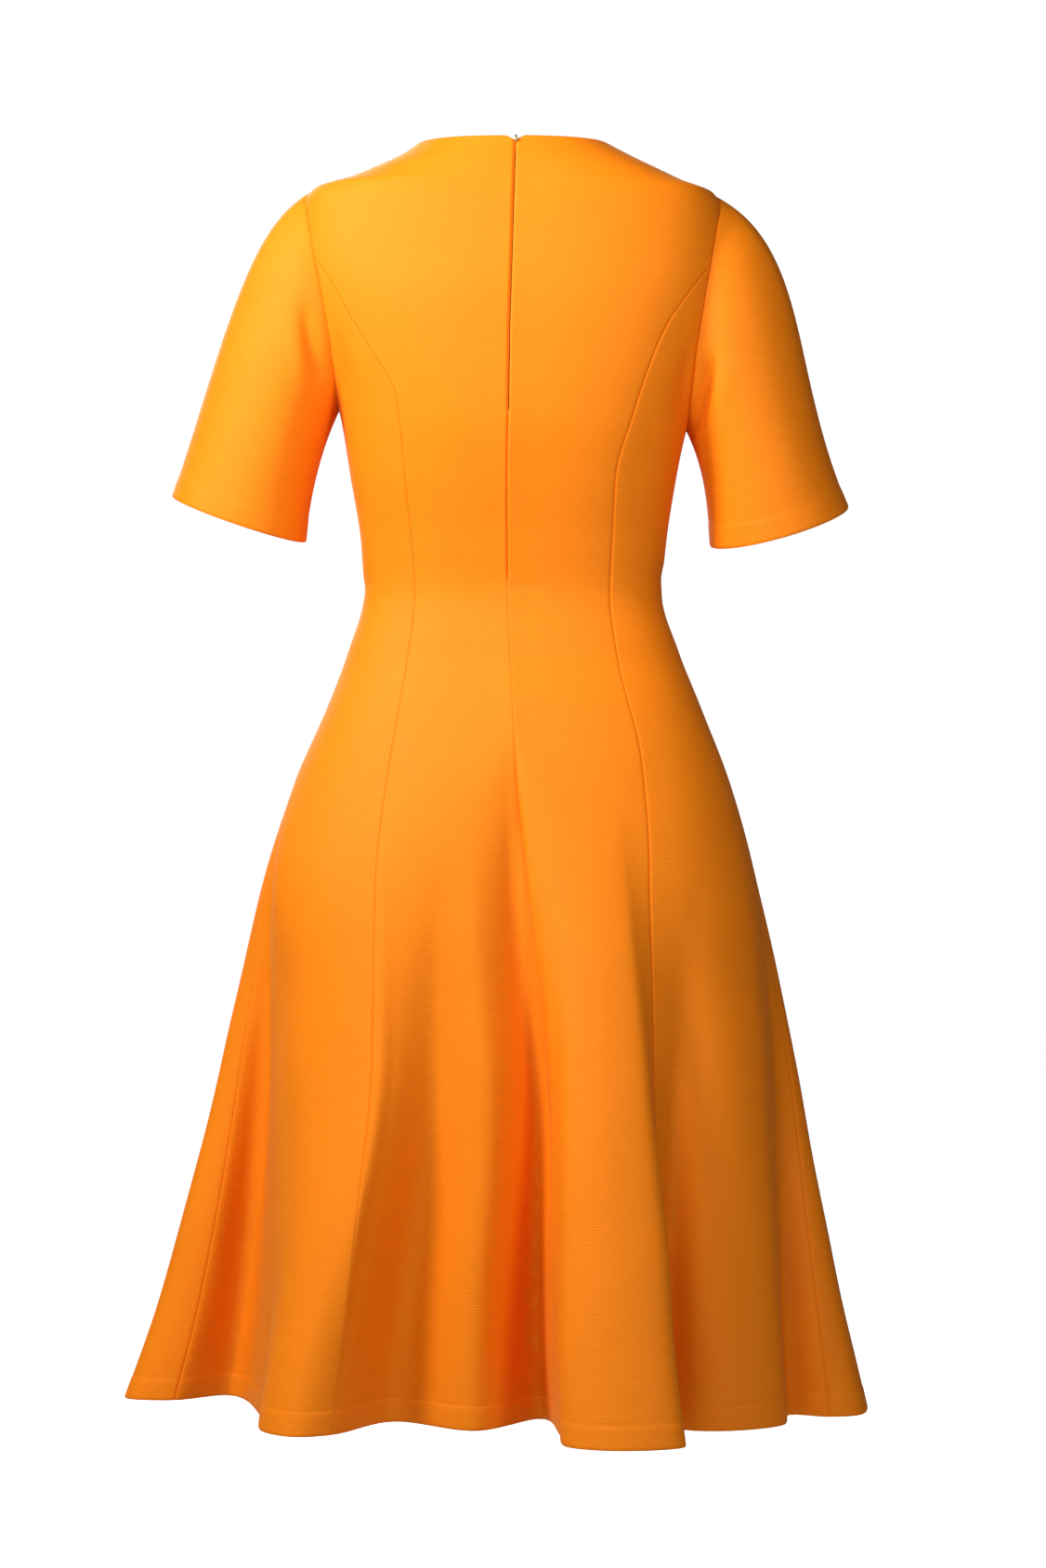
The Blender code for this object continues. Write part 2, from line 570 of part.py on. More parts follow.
def make_pull(head, material):
    """The pull tab: a flat plate whose bar turns in the slider's eye, and whose slot clears the neck."""
    tip = PULL_LENGTH - PULL_BAR / 2
    turns = np.linspace(0, np.pi, PULL_TIP_STEPS + 1)
    round_tip = [
        (PULL_END_HALF_WIDTH * np.cos(turn), tip - PULL_END_HALF_WIDTH * (1 - np.sin(turn))) for turn in turns
    ]
    foot = [(-PULL_HALF_WIDTH, -PULL_BAR / 2), (PULL_HALF_WIDTH, -PULL_BAR / 2)]
    slot_low, slot_high = PULL_BAR / 2, PULL_BAR / 2 + PULL_SLOT
    slot = [
        (PULL_SLOT_HALF, slot_low),
        (PULL_SLOT_HALF, slot_high),
        (-PULL_SLOT_HALF, slot_high),
        (-PULL_SLOT_HALF, slot_low),
    ]
    outline = bpy.data.curves.new("pull_tab", "CURVE")
    outline.dimensions = "2D"
    outline.fill_mode = "BOTH"
    outline.extrude = PULL_THICKNESS / 2
    for points in (foot + round_tip, slot):
        spline = outline.splines.new("POLY")
        spline.points.add(len(points) - 1)
        for point, (x, y) in zip(spline.points, points):
            point.co = (x, y, 0, 1)
        spline.use_cyclic_u = True
    outline.materials.append(material)
    pull = bpy.data.objects.new("pull_tab", outline)
    COLLECTION.objects.link(pull)
    pull.parent = head
    pull.location = (0, PIVOT_PROUD, -PIVOT_DEPTH)
    # The plate's length is its own Y. Level and inwards is half a turn from the back, less the cloth's lean.
    pull.rotation_euler.x = np.pi - PULL_RISE - head.rotation_euler.x
    return pull


# ---- Objects ----
def make_material(name, colour, roughness, metallic):
    material = bpy.data.materials.new(name)
    material.use_nodes = True
    shader = material.node_tree.nodes["Principled BSDF"]
    shader.inputs["Base Color"].default_value = colour
    shader.inputs["Roughness"].default_value = roughness
    shader.inputs["Metallic"].default_value = metallic
    return material


def add_mesh(name, mesh, material, collection=None):
    data = bpy.data.meshes.new(name)
    mesh.to_mesh(data)
    mesh.free()
    data.shade_smooth()
    data.set_sharp_from_angle(angle=np.radians(50))
    data.materials.append(material)
    piece = bpy.data.objects.new(name, data)
    (collection or COLLECTION).objects.link(piece)
    return piece


def cloth_for(name):
    return make_material(f"{name}_knit", CLOTH_COLOUR, 0.85, 0.0)


for old in list(bpy.data.objects):
    bpy.data.objects.remove(old)
COLLECTION = bpy.data.collections.new("a_line_dress")
HELPERS = bpy.data.collections.new("helpers")
for collection in (COLLECTION, HELPERS):
    bpy.context.scene.collection.children.link(collection)

for panel_number, panel_name in enumerate(PANELS):
    make_panel(panel_number, cloth_for(panel_name))
make_sleeve("sleeve_left", 1, cloth_for("sleeve_left"))
make_sleeve("sleeve_right", -1, cloth_for("sleeve_right"))
make_tape("zip_tape_left", 0, 1, make_material("tape_left", CLOTH_COLOUR, 0.7, 0.0))
make_tape("zip_tape_right", 6, -1, make_material("tape_right", CLOTH_COLOUR, 0.7, 0.0))
HEAD = zip_head()
make_slider(HEAD, make_material("slider_metal", METAL_COLOUR, 0.3, 1.0))
make_pull(HEAD, make_material("pull_metal", METAL_COLOUR, 0.25, 1.0))
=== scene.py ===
"""The a-line dress in orange double knit, seen from the back, hanging as when worn, with nobody in it.

Metres, in the CAD's frame: +Z is up, the back faces +Y, the wearer's left is +X, and the origin is midway
between the shoulder seams at the side of the neck.
"""

import json

import bmesh
import bpy
import numpy as np
from mathutils import Matrix, Vector

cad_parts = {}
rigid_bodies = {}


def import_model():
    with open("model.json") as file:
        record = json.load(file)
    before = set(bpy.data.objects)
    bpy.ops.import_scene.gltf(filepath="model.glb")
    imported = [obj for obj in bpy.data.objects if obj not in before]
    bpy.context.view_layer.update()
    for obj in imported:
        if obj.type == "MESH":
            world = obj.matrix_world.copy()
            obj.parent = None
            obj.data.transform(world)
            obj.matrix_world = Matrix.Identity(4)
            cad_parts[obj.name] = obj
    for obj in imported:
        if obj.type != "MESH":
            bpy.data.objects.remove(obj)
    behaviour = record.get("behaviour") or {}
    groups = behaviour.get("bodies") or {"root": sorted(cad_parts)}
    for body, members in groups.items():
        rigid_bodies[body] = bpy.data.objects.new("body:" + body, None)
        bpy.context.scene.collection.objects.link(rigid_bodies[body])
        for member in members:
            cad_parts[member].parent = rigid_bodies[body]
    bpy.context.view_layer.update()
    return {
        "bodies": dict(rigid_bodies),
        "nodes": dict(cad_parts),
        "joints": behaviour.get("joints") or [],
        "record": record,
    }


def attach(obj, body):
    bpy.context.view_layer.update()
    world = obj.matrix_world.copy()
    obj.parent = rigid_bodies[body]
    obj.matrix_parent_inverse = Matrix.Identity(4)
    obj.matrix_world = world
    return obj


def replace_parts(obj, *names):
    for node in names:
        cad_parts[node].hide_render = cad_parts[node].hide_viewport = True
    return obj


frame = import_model()


# ---- The seven panels ----
# Each panel is one length of orange ponte, a firm double knit, from the neck or an armhole to a turned hem.
# Plain machine seams join it to its neighbours, with their allowances pressed to one side, so each seam is a
# narrow soft groove with the needle's slight pucker.


def table(columns, rows):
    """Named columns of a table, as one array each."""
    return {name: np.array(values) for name, values in zip(columns.split(), zip(*rows))}


# From the centre back round by the wearer's left: each panel's columns of points, the cut of what shows, and
# for its first and last seam whether an armhole lies beside it higher up, and whether it is the proud side.
PANELS = table(
    "name columns cut_width cut_length cut_area first_beside first_proud last_beside last_proud",
    [
        ("center_back_left", 58, 0.31, 1.09, 0.172, False, 0, True, 0),
        ("side_back_left", 50, 0.31, 0.99, 0.157, False, 1, True, 1),
        ("side_front_left", 48, 0.31, 0.99, 0.168, True, 0, False, 1),
        ("center_front", 96, 0.58, 1.06, 0.321, True, 0, True, 0),
        ("side_front_right", 48, 0.31, 0.99, 0.169, False, 1, True, 0),
        ("side_back_right", 50, 0.29, 0.99, 0.139, True, 1, False, 1),
        ("center_back_right", 58, 0.33, 1.10, 0.161, True, 0, False, 1),
    ],
)
LAST_SEAM = len(PANELS["name"])  # panels are numbered by their first seam, and the last seam is the first again

# The dress hangs as when worn: close to the shoulders, chest and waist, then away from the hips in an a-line.
# It is a stack of level sections. Below the hips each is drawn towards the hem, which waves in and out in soft
# folds, since the flared skirt is wider than the hips that carry it.
WALL = 0.0016  # thickness of the knit
HEM_HEIGHT = -1.077
FOLD_GROWTH = 1.12  # how a fold deepens from its start to the hem
FOLD_EASE = 0.10  # the share of its length over which a fold eases in
FOLD_LEAN = 0.17  # how far the back's folds lean to the wearer's right above the hem, as a share of a panel
LEAN_TOP = HEM_HEIGHT + 0.31  # from this height up they lean by all of it
LEAN_FULL, LEAN_END = 1.0, 1.55  # panels away from the centre back: where the lean starts to fade, and its end
NECK_HALF_WIDTH = 0.080
FRONT_NECK_DROP = 0.080
BACK_NECK_DIP = 0.002
ARMHOLE_CENTRE = -0.1385
ARMHOLE_HALF_HEIGHT = 0.0975
ARMHOLE_BACK = 0.057
ARMHOLE_FRONT = 0.052
PRINCESS_TURN = np.radians(70.0)  # where the princess seams leave the armhole, counted from its top
SHOULDER_TIP = ARMHOLE_CENTRE + ARMHOLE_HALF_HEIGHT
UNDERARM = ARMHOLE_CENTRE - ARMHOLE_HALF_HEIGHT
PRINCESS_TOP = ARMHOLE_CENTRE + ARMHOLE_HALF_HEIGHT * np.cos(PRINCESS_TURN)
PRINCESS_TIP_CUT = 0.002
SLOPE_STEP, SLOPE_SHARE = 1e-4, 0.01  # how far apart the cloth's slope is taken

# Half widths, back and front of each level section, the middle its sides lie on, its tilt up to the wearer's
# left, and the power of its rounded-square outline.
SECTIONS = table(
    "height left right back front middle tilt power",
    [
        (0.000, 0.080, 0.080, 0.078, -0.012, 0.015, 0.000, 2.3),
        (-0.012, 0.098, 0.104, 0.083, -0.023, 0.012, 0.003, 2.4),
        (-0.022, 0.119, 0.126, 0.087, -0.031, 0.009, 0.006, 2.5),
        (-0.032, 0.143, 0.149, 0.090, -0.039, 0.007, 0.009, 2.5),
        (-0.041, 0.171, 0.173, 0.092, -0.045, 0.005, 0.011, 2.6),
        (-0.055, 0.181, 0.181, 0.095, -0.052, 0.005, 0.014, 2.6),
        (-0.096, 0.185, 0.185, 0.101, -0.070, 0.005, 0.020, 2.6),
        (-0.137, 0.180, 0.180, 0.105, -0.088, 0.005, 0.030, 2.6),
        (-0.185, 0.167, 0.167, 0.103, -0.108, 0.005, 0.043, 2.6),
        (-0.236, 0.149, 0.149, 0.099, -0.124, 0.005, 0.058, 2.6),
        (-0.289, 0.139, 0.139, 0.088, -0.130, 0.005, 0.025, 2.6),
        (-0.345, 0.130, 0.131, 0.076, -0.112, 0.005, 0.006, 2.5),
        (-0.385, 0.128, 0.128, 0.071, -0.099, 0.003, 0.000, 2.5),
        (-0.433, 0.141, 0.142, 0.080, -0.108, 0.002, 0.000, 2.5),
        (-0.481, 0.159, 0.161, 0.098, -0.122, 0.002, 0.000, 2.5),
        (-0.545, 0.187, 0.186, 0.119, -0.138, 0.000, 0.000, 2.4),
        (-0.625, 0.215, 0.208, 0.138, -0.155, 0.000, 0.000, 2.4),
        (-0.737, 0.241, 0.230, 0.156, -0.177, -0.010, 0.000, 2.3),
        (-0.865, 0.269, 0.251, 0.172, -0.196, -0.010, 0.000, 2.3),
        (-0.993, 0.303, 0.277, 0.185, -0.212, -0.010, 0.000, 2.3),
        (-1.077, 0.331, 0.297, 0.193, -0.222, -0.010, 0.000, 2.3),
    ],
)

# How far each long seam lies to the wearer's left, and how far the right side seam turns to the back.
SEAMS = table(
    "height centre_back left_back right_back left_front right_front side_turn",
    [
        (0.000, -0.0030, 0.168, -0.168, 0.168, -0.168, 0.0),
        (-0.130, 0.0010, 0.153, -0.149, 0.145, -0.145, 0.0),
        (-0.160, 0.0020, 0.137, -0.129, 0.128, -0.128, 0.0),
        (-0.190, 0.0025, 0.119, -0.116, 0.114, -0.114, 0.0),
        (-0.225, 0.0030, 0.099, -0.104, 0.102, -0.102, 0.0),
        (-0.290, 0.0040, 0.091, -0.087, 0.092, -0.092, 0.0),
        (-0.388, 0.0035, 0.083, -0.083, 0.080, -0.080, 0.0),
        (-0.450, 0.0010, 0.090, -0.090, 0.088, -0.088, 0.0),
        (-0.530, -0.0030, 0.103, -0.109, 0.105, -0.105, 0.0),
        (-0.625, -0.0050, 0.114, -0.118, 0.120, -0.120, 3.0),
        (-0.795, -0.0160, 0.121, -0.118, 0.155, -0.155, 14.0),
        (-0.931, -0.0250, 0.134, -0.130, 0.185, -0.188, 24.0),
        (-1.077, -0.0380, 0.146, -0.136, 0.215, -0.220, 32.0),
    ],
)

# The hem in plan, from the centre back round by the wearer's left, with the height where each fold starts.
HEM_FOLDS = table(
    "name across back starts",
    [
        ("centre back seam", -0.038, 0.190, -0.515),
        ("valley beside the centre back", -0.024, 0.108, -0.505),
        ("left back crest", 0.030, 0.168, -0.560),
        ("left back valley", 0.098, 0.122, -0.595),
        ("left back princess seam", 0.146, 0.187, -0.600),
        ("left side crest", 0.176, 0.198, -0.570),
        ("left side corner", 0.204, 0.172, -0.585),
        ("left side flank", 0.213, 0.085, -0.600),
        ("left side recess", 0.246, -0.015, -0.530),
        ("left side seam", 0.290, 0.012, -0.530),
        ("left bulge", 0.334, 0.000, -0.560),
        ("left front valley", 0.264, -0.130, -0.590),
        ("left front crest", 0.246, -0.200, -0.590),
        ("left front princess seam", 0.215, -0.236, -0.590),
        ("front crest on the left", 0.180, -0.246, -0.560),
        ("front valley on the left", 0.100, -0.196, -0.600),
        ("centre front crest", -0.008, -0.262, -0.560),
        ("front valley on the right", -0.095, -0.200, -0.600),
        ("front crest on the right", -0.172, -0.242, -0.560),
        ("right front princess seam", -0.220, -0.165, -0.590),
        ("right front valley", -0.233, -0.098, -0.590),
        ("right bulge", -0.298, 0.010, -0.570),
        ("right corner", -0.292, 0.088, -0.570),
        ("right side seam", -0.265, 0.098, -0.570),
        ("right side recess", -0.233, 0.088, -0.590),
        ("right side corner", -0.224, 0.140, -0.590),
        ("right side crest", -0.186, 0.166, -0.590),
        ("right side flank", -0.150, 0.168, -0.600),
        ("right back princess seam", -0.120, 0.148, -0.625),
        ("flank of the centre fold", -0.126, 0.200, -0.590),
        ("right edge of the centre fold", -0.138, 0.246, -0.560),
        ("crest of the centre fold", -0.085, 0.263, -0.545),
        ("left edge of the centre fold", -0.044, 0.245, -0.540),
    ],
)
HEM_SAMPLES = 24


def ramp(value, start, full):
    """A share that grows evenly from 0 at the start to 1 at the full value, and stays so on either side."""
    return np.clip((value - start) / (full - start), 0, 1)


def eased(share):
    """The same share, but leaving 0 and reaching 1 gently."""
    return share * share * (3 - 2 * share)


def through(heights, values, at):
    """A curve through the rows of a table that never overshoots between two of them."""
    order = np.argsort(heights)
    x, y = heights[order], values[order]
    gap = np.diff(x)
    slope = np.diff(y) / gap
    product = slope[:-1] * slope[1:]
    total = np.where(product > 0, slope[:-1] + slope[1:], 1.0)
    inner = np.where(product > 0, 2 * product / total, 0.0)
    slopes = np.concatenate([slope[:1], inner, slope[-1:]])
    at = np.clip(at, x[0], x[-1])
    i = np.clip(np.searchsorted(x, at) - 1, 0, len(x) - 2)
    t = (at - x[i]) / gap[i]
    rise = y[i] + (y[i + 1] - y[i]) * eased(t)
    return rise + gap[i] * t * (1 - t) * ((1 - t) * slopes[i] - t * slopes[i + 1])


def section(name, height):
    return through(SECTIONS["height"], SECTIONS[name], height)


def ring(height, angle):
    """The point of the level section at this height and angle from centre back by the wearer's left."""
    sine, cosine = np.sin(angle), np.cos(angle)
    power, middle = section("power", height), section("middle", height)
    reach = (np.abs(sine) ** power + np.abs(cosine) ** power) ** (-1 / power)
    half = np.where(sine >= 0, section("left", height), section("right", height))
    depth = np.where(cosine >= 0, section("back", height) - middle, middle - section("front", height))
    across = half * sine * reach
    at_neck = ramp(height, SHOULDER_TIP, 0.0)
    up = height - BACK_NECK_DIP * cosine**2 * at_neck + across * section("tilt", height)
    return np.stack(np.broadcast_arrays(across, middle + depth * cosine * reach, up), axis=-1)


def turn_across(height, across):
    """The angle of the section's point this far from the centre line."""
    half = np.where(across >= 0, section("left", height), section("right", height))
    power = section("power", height)
    share = np.clip(np.abs(across) / half, 0, 1)
    return np.sign(across) * np.arctan2(share, (1 - share**power) ** (1 / power))


def armhole_turn(height, front):
    """The angle of the armhole's edge, and of the side above and below the armhole."""
    share = np.sqrt(np.clip(1 - ((height - ARMHOLE_CENTRE) / ARMHOLE_HALF_HEIGHT) ** 2, 0, 1))
    power, middle = section("power", height), section("middle", height)
    if front:
        depth = share * ARMHOLE_FRONT / (middle - section("front", height))
    else:
        depth = share * ARMHOLE_BACK / (section("back", height) - middle)
    return np.arctan2((1 - depth**power) ** (1 / power), depth)


def seam_turn(name, height, front=False):
    """A princess seam's angle, which follows the armhole and the shoulder seam above its top."""
    top = armhole_turn(np.array(PRINCESS_TOP), front)
    start = abs(ring(np.array(PRINCESS_TOP), np.pi - top if front else top)[0])
    below = SEAMS["height"] < PRINCESS_TOP
    heights = np.concatenate([[PRINCESS_TOP], SEAMS["height"][below]])
    across = np.concatenate([[start], np.abs(SEAMS[name][below])])
    turn = turn_across(height, through(heights, across, height))
    return np.where(height > PRINCESS_TOP - SLOPE_STEP / 10, armhole_turn(height, front), turn)


def seam_angle(number, height, opening=0.0, front=False):
    """The angle of seam 0 to 7, from centre back by the wearer's left and round to centre back again."""
    if number in (0, LAST_SEAM):
        across = through(SEAMS["height"], SEAMS["centre_back"], height) + opening
        return turn_across(height, across) + (2 * np.pi if number else 0)
    if number == 1:
        return seam_turn("left_back", height)
    if number == 2:
        return np.pi - armhole_turn(height, True) if front else armhole_turn(height, False)
    if number == 3:
        return np.pi - seam_turn("left_front", height, True)
    if number == 4:
        return np.pi + seam_turn("right_front", height, True)
    if number == 5:
        turn = armhole_turn(height, front)
        back = np.radians(through(SEAMS["height"], SEAMS["side_turn"], height))
        return (np.pi + turn if front else 2 * np.pi - turn) + back
    return 2 * np.pi - seam_turn("right_back", height)


def hem_line():
    """The hem as a closed smooth curve: seam number, across, back and start height, close together."""
    rows = np.stack([HEM_FOLDS[name] for name in ("across", "back", "starts")], axis=1)
    count = len(rows)
    points = []
    for i in range(count):
        before, start, end, after = (rows[(i + k) % count] for k in (-1, 0, 1, 2))
        lengths = [np.linalg.norm((b - a)[:2]) ** 0.5 for a, b in ((before, start), (start, end), (end, after))]
        leave = (start - before) / lengths[0] - (end - before) / (lengths[0] + lengths[1])
        leave = (leave + (end - start) / lengths[1]) * lengths[1]
        arrive = (end - start) / lengths[1] - (after - start) / (lengths[1] + lengths[2])
        arrive = (arrive + (after - end) / lengths[2]) * lengths[1]
        t = np.linspace(0, 1, HEM_SAMPLES, endpoint=False)[:, None]
        smooth = start + (end - start) * eased(t)
        points.append(smooth + t * (1 - t) * ((1 - t) * leave - t * arrive))
    points = np.concatenate(points + [points[0][:1]])
    length = np.concatenate([[0], np.cumsum(np.linalg.norm(np.diff(points[:, :2], axis=0), axis=1))])
    at_seam = [i * HEM_SAMPLES for i in range(count) if "seam" in HEM_FOLDS["name"][i]] + [len(points) - 1]
    return np.interp(length, length[at_seam], range(len(at_seam))), points


HEM_NUMBER, HEM_POINTS = hem_line()


def skirt_angle(number, height):
    """The section's angle at a seam number, such as 1.5 for halfway between seams 1 and 2."""
    number, height = np.broadcast_arrays(np.mod(number, LAST_SEAM), height)
    whole = np.floor(number).astype(int)
    share = number - whole
    seams = np.stack([seam_angle(i, height) for i in range(LAST_SEAM + 1)])
    start = np.take_along_axis(seams, whole[None], axis=0)[0]
    end = np.take_along_axis(seams, whole[None] + 1, axis=0)[0]
    return start * (1 - share) + end * share


def body(number, height):
    """The cloth's outer face below the underarms: the level section, moved by its share of the hem's folds."""
    point = ring(height, skirt_angle(number, height))
    from_back = np.abs(np.mod(number + LAST_SEAM / 2, LAST_SEAM) - LAST_SEAM / 2)
    leaning = ramp(height, HEM_HEIGHT, LEAN_TOP) * ramp(from_back, LEAN_END, LEAN_FULL)
    number = np.mod(number + FOLD_LEAN * eased(leaning), LAST_SEAM)
    across, back, starts = (np.interp(number, HEM_NUMBER, HEM_POINTS[:, i]) for i in range(3))
    plain = ring(np.array(HEM_HEIGHT), skirt_angle(number, np.array(HEM_HEIGHT)))
    grown = ramp(height, starts, HEM_HEIGHT)
    growth = grown**FOLD_GROWTH * (1 - np.exp(-grown / FOLD_EASE))
    moved = np.stack([across - plain[..., 0], back - plain[..., 1], np.zeros_like(across)], axis=-1)
    return point + moved * growth[..., None]


def unit(vectors):
    return vectors / np.linalg.norm(vectors, axis=-1, keepdims=True)


def body_normal(number, height):
    around = body(number + SLOPE_SHARE, height) - body(number - SLOPE_SHARE, height)
    down = body(number, height - SLOPE_STEP) - body(number, height + SLOPE_STEP)
    return unit(np.cross(around, down))


def ring_normal(height, angle):
    around = ring(height, angle + SLOPE_STEP) - ring(height, angle - SLOPE_STEP)
    down = ring(height - SLOPE_STEP, angle) - ring(np.minimum(height + SLOPE_STEP, 0), angle)
    return unit(np.cross(around, down))


# Where the arms pull on the cloth and where it is spare, ponte makes a few soft troughs and ridges. Each has
# its own length, depth and width. They lie as seen from the back, front, left or right of the dress: out from
# the centre line (or towards the back, on the sides) and up, from their start by their middle to their end.
CREASES = table(
    "name seen_from from_across from_up by_across by_up to_across to_up depth width",
    [
        ("pucker at the zip's end", "back", 0.000, -0.380, -0.011, -0.381, -0.026, -0.384, -0.0009, 0.0035),
        ("swell below the zip's end", "back", 0.002, -0.386, -0.010, -0.388, -0.020, -0.391, 0.0005, 0.0040),
        ("left armpit fold", "back", 0.150, -0.165, 0.146, -0.195, 0.142, -0.222, -0.0025, 0.0080),
        ("right armpit fold", "back", -0.150, -0.180, -0.146, -0.208, -0.141, -0.238, -0.0025, 0.0080),
        ("left side hollow", "back", 0.184, -0.600, 0.212, -0.800, 0.240, -1.040, -0.0050, 0.0160),
        ("left bust pull", "front", 0.140, -0.175, 0.112, -0.190, 0.086, -0.196, -0.0018, 0.0110),
        ("left bust swell", "front", 0.136, -0.197, 0.110, -0.212, 0.090, -0.216, 0.0014, 0.0100),
        ("right bust pull", "front", -0.140, -0.182, -0.115, -0.199, -0.082, -0.208, -0.0021, 0.0120),
        ("right bust swell", "front", -0.134, -0.210, -0.112, -0.220, -0.094, -0.225, 0.0012, 0.0090),
        ("left waist pull", "front", 0.118, -0.352, 0.085, -0.362, 0.055, -0.359, -0.0012, 0.0090),
        ("right waist pull", "front", -0.120, -0.375, -0.092, -0.383, -0.066, -0.379, -0.0014, 0.0080),
        ("left side waist pull", "left", 0.040, -0.372, 0.000, -0.381, -0.045, -0.376, -0.0012, 0.0080),
        ("right side waist pull", "right", 0.036, -0.366, -0.005, -0.372, -0.050, -0.370, -0.0013, 0.0090),
    ],
)
FACES = {"back": (0, 1), "front": (0, -1), "left": (1, 1), "right": (1, -1)}
CREASE_POINTS = 101  # along each path
CREASE_REACH = 3  # how many of its widths away a crease still counts
CREASE_ENDS, CREASE_BLUNT = 0.02, 0.7  # how near to its ends it fades, and how bluntly
CREASE_TURN = 0.35  # how squarely the cloth has to face the view for a crease's whole depth


def crease_depth(points, normals, creases):
    """How far out the creases push each point of the cloth."""
    out = np.zeros(points.shape[:-1])
    t = np.linspace(0, 1, CREASE_POINTS)[:, None]
    for i, (seen_from, depth, width) in enumerate(zip(*(creases[key] for key in ("seen_from", "depth", "width")))):
        flat_axis, sign = FACES[seen_from]
        start, by, end = (
            np.array([creases[f"{place}_across"][i], creases[f"{place}_up"][i]]) for place in ("from", "by", "to")
        )
        control = 2 * by - (start + end) / 2
        path = (1 - t) ** 2 * start + 2 * t * (1 - t) * control + t**2 * end
        seen, facing = points[..., [flat_axis, 2]], normals[..., 1 - flat_axis] * sign
        low, high = path.min(axis=0) - CREASE_REACH * width, path.max(axis=0) + CREASE_REACH * width
        near = np.all((seen > low) & (seen < high), axis=-1) & (facing > 0)
        away = np.linalg.norm(seen[near][:, None] - path[None], axis=-1)
        along = t[away.argmin(axis=1), 0]
        fade = np.sin(np.pi * np.clip(along, CREASE_ENDS, 1 - CREASE_ENDS)) ** CREASE_BLUNT
        turned = np.clip(facing[near] / CREASE_TURN, 0, 1)
        out[near] += depth * fade * turned * np.exp(-((away.min(axis=1) / width) ** 2))
    return out


# The zip's notch and the fine open line below it: half the gap between the two centre back panels.
NOTCH = table(
    "height opening",
    [(0.0, 0.0072), (-0.0020, 0.0036), (-0.0036, 0.0013), (-0.0052, 0.0004), (-0.3700, 0.0004), (-0.3760, 0.0)],
)
WIDTH_STEPS = 25  # how finely a panel's width is measured
# The rows of points: from the neckline to the shoulder tip, round the armhole above and below the princess
# seams' tops, down the body, and above the hem's edge.
NECK_ROWS = np.array([0.0, -0.0004, -0.0010, -0.0020])
SHOULDER_FROM, SHOULDER_STEP = -0.0033, -0.0014
ARMHOLE_ROWS, BODY_ROWS, BODY_END = (26, 42), 208, 0.024
HEM_ROWS = np.array(
    [0.0225, 0.0212, 0.0204, 0.0198, 0.0190, 0.0175, 0.0140, 0.0100, 0.0060, 0.0035, 0.0018, 0.0009, 0.0003, 0.0]
)
SEAM_COLUMNS = np.array([0.0, 0.0003, 0.0007, 0.0012, 0.0018, 0.0027, 0.0042, 0.0065])
SEAM_COLUMNS_SHARE = 0.35  # the most of a narrow row that the columns beside a seam take up


def neckline(share):
    """The front neckline's drop, and its angle from the shoulder as a share of a quarter turn."""
    drop = FRONT_NECK_DROP * np.sin(share * np.pi / 2)
    across = NECK_HALF_WIDTH * np.cos(share * np.pi / 2)
    return drop, 1 - turn_across(-drop, across) / (np.pi / 2)


def panel_surface(number, heights, shares):
    """Outer points and normals of a panel: a row for each height, a column for each share of its width."""
    opening = through(NOTCH["height"], NOTCH["opening"], heights)
    front = PANELS["name"][number].startswith(("side_front", "center_front"))
    start = seam_angle(number, heights, opening, front)[:, None]
    end = seam_angle(number + 1, heights, -opening, front)[:, None]
    height, share = np.broadcast_arrays(heights[:, None], shares)
    if PANELS["name"][number] == "center_front":
        inward = 1 - np.abs(2 * share - 1)
        near_neck = ramp(height, UNDERARM, 0.0)
        drop, turned = neckline(inward)
        height = height - near_neck * drop
        inward = near_neck * turned + (1 - near_neck) * inward
        angle = np.where(share <= 0.5, start + (np.pi - start) * inward, end - (end - np.pi) * inward)
    else:
        angle = start + (end - start) * share
    above = (heights > UNDERARM)[:, None, None]
    points = np.where(above, ring(height, angle), body(number + share, height))
    normals = np.where(above, ring_normal(height, angle), body_normal(number + share, height))
    return points, normals


def panel_rows(top):
    """The heights of the rows of points that all panels share, close together where the cloth is level."""
    shoulder = np.arange(SHOULDER_FROM, SHOULDER_TIP, SHOULDER_STEP)
    upper, lower = ARMHOLE_ROWS
    turns = np.concatenate([np.linspace(0, PRINCESS_TURN, upper)[:-1], np.linspace(PRINCESS_TURN, np.pi, lower)])
    armhole = ARMHOLE_CENTRE + ARMHOLE_HALF_HEIGHT * np.cos(turns)
    below = np.linspace(UNDERARM, HEM_HEIGHT + BODY_END, BODY_ROWS)[1:]
    tip = [PRINCESS_TOP - PRINCESS_TIP_CUT]
    rows = np.concatenate([NECK_ROWS, shoulder, armhole, tip, below, HEM_HEIGHT + HEM_ROWS])
    return np.sort(rows[rows <= top + SLOPE_STEP / 10])[::-1]


def surface_lengths(points, axis):
    """How far along the cloth each point is, in that direction of the grid."""
    steps = np.linalg.norm(np.diff(points, axis=axis), axis=-1)
    start = np.zeros_like(steps.take([0], axis=axis))
    return np.concatenate([start, np.cumsum(steps, axis=axis)], axis=axis)


def panel_widths(number, heights):
    """How wide a panel is at each height, along the cloth."""
    rough, _ = panel_surface(number, heights, np.linspace(0, 1, WIDTH_STEPS)[None])
    return surface_lengths(rough, 1)[:, -1]


def column_shares(widths, count):
    """Each row's columns as shares of its width: close together at both seams, even between them."""
    limit = np.minimum(1.0, widths * SEAM_COLUMNS_SHARE / SEAM_COLUMNS[-1])[:, None]
    near = SEAM_COLUMNS[None] * limit / widths[:, None]
    even = np.linspace(0, 1, count - 2 * len(SEAM_COLUMNS) + 2)[None, 1:-1]
    middle = near[:, -1:] + (1 - 2 * near[:, -1:]) * even
    return np.concatenate([near, middle, 1 - near[:, ::-1]], axis=1)


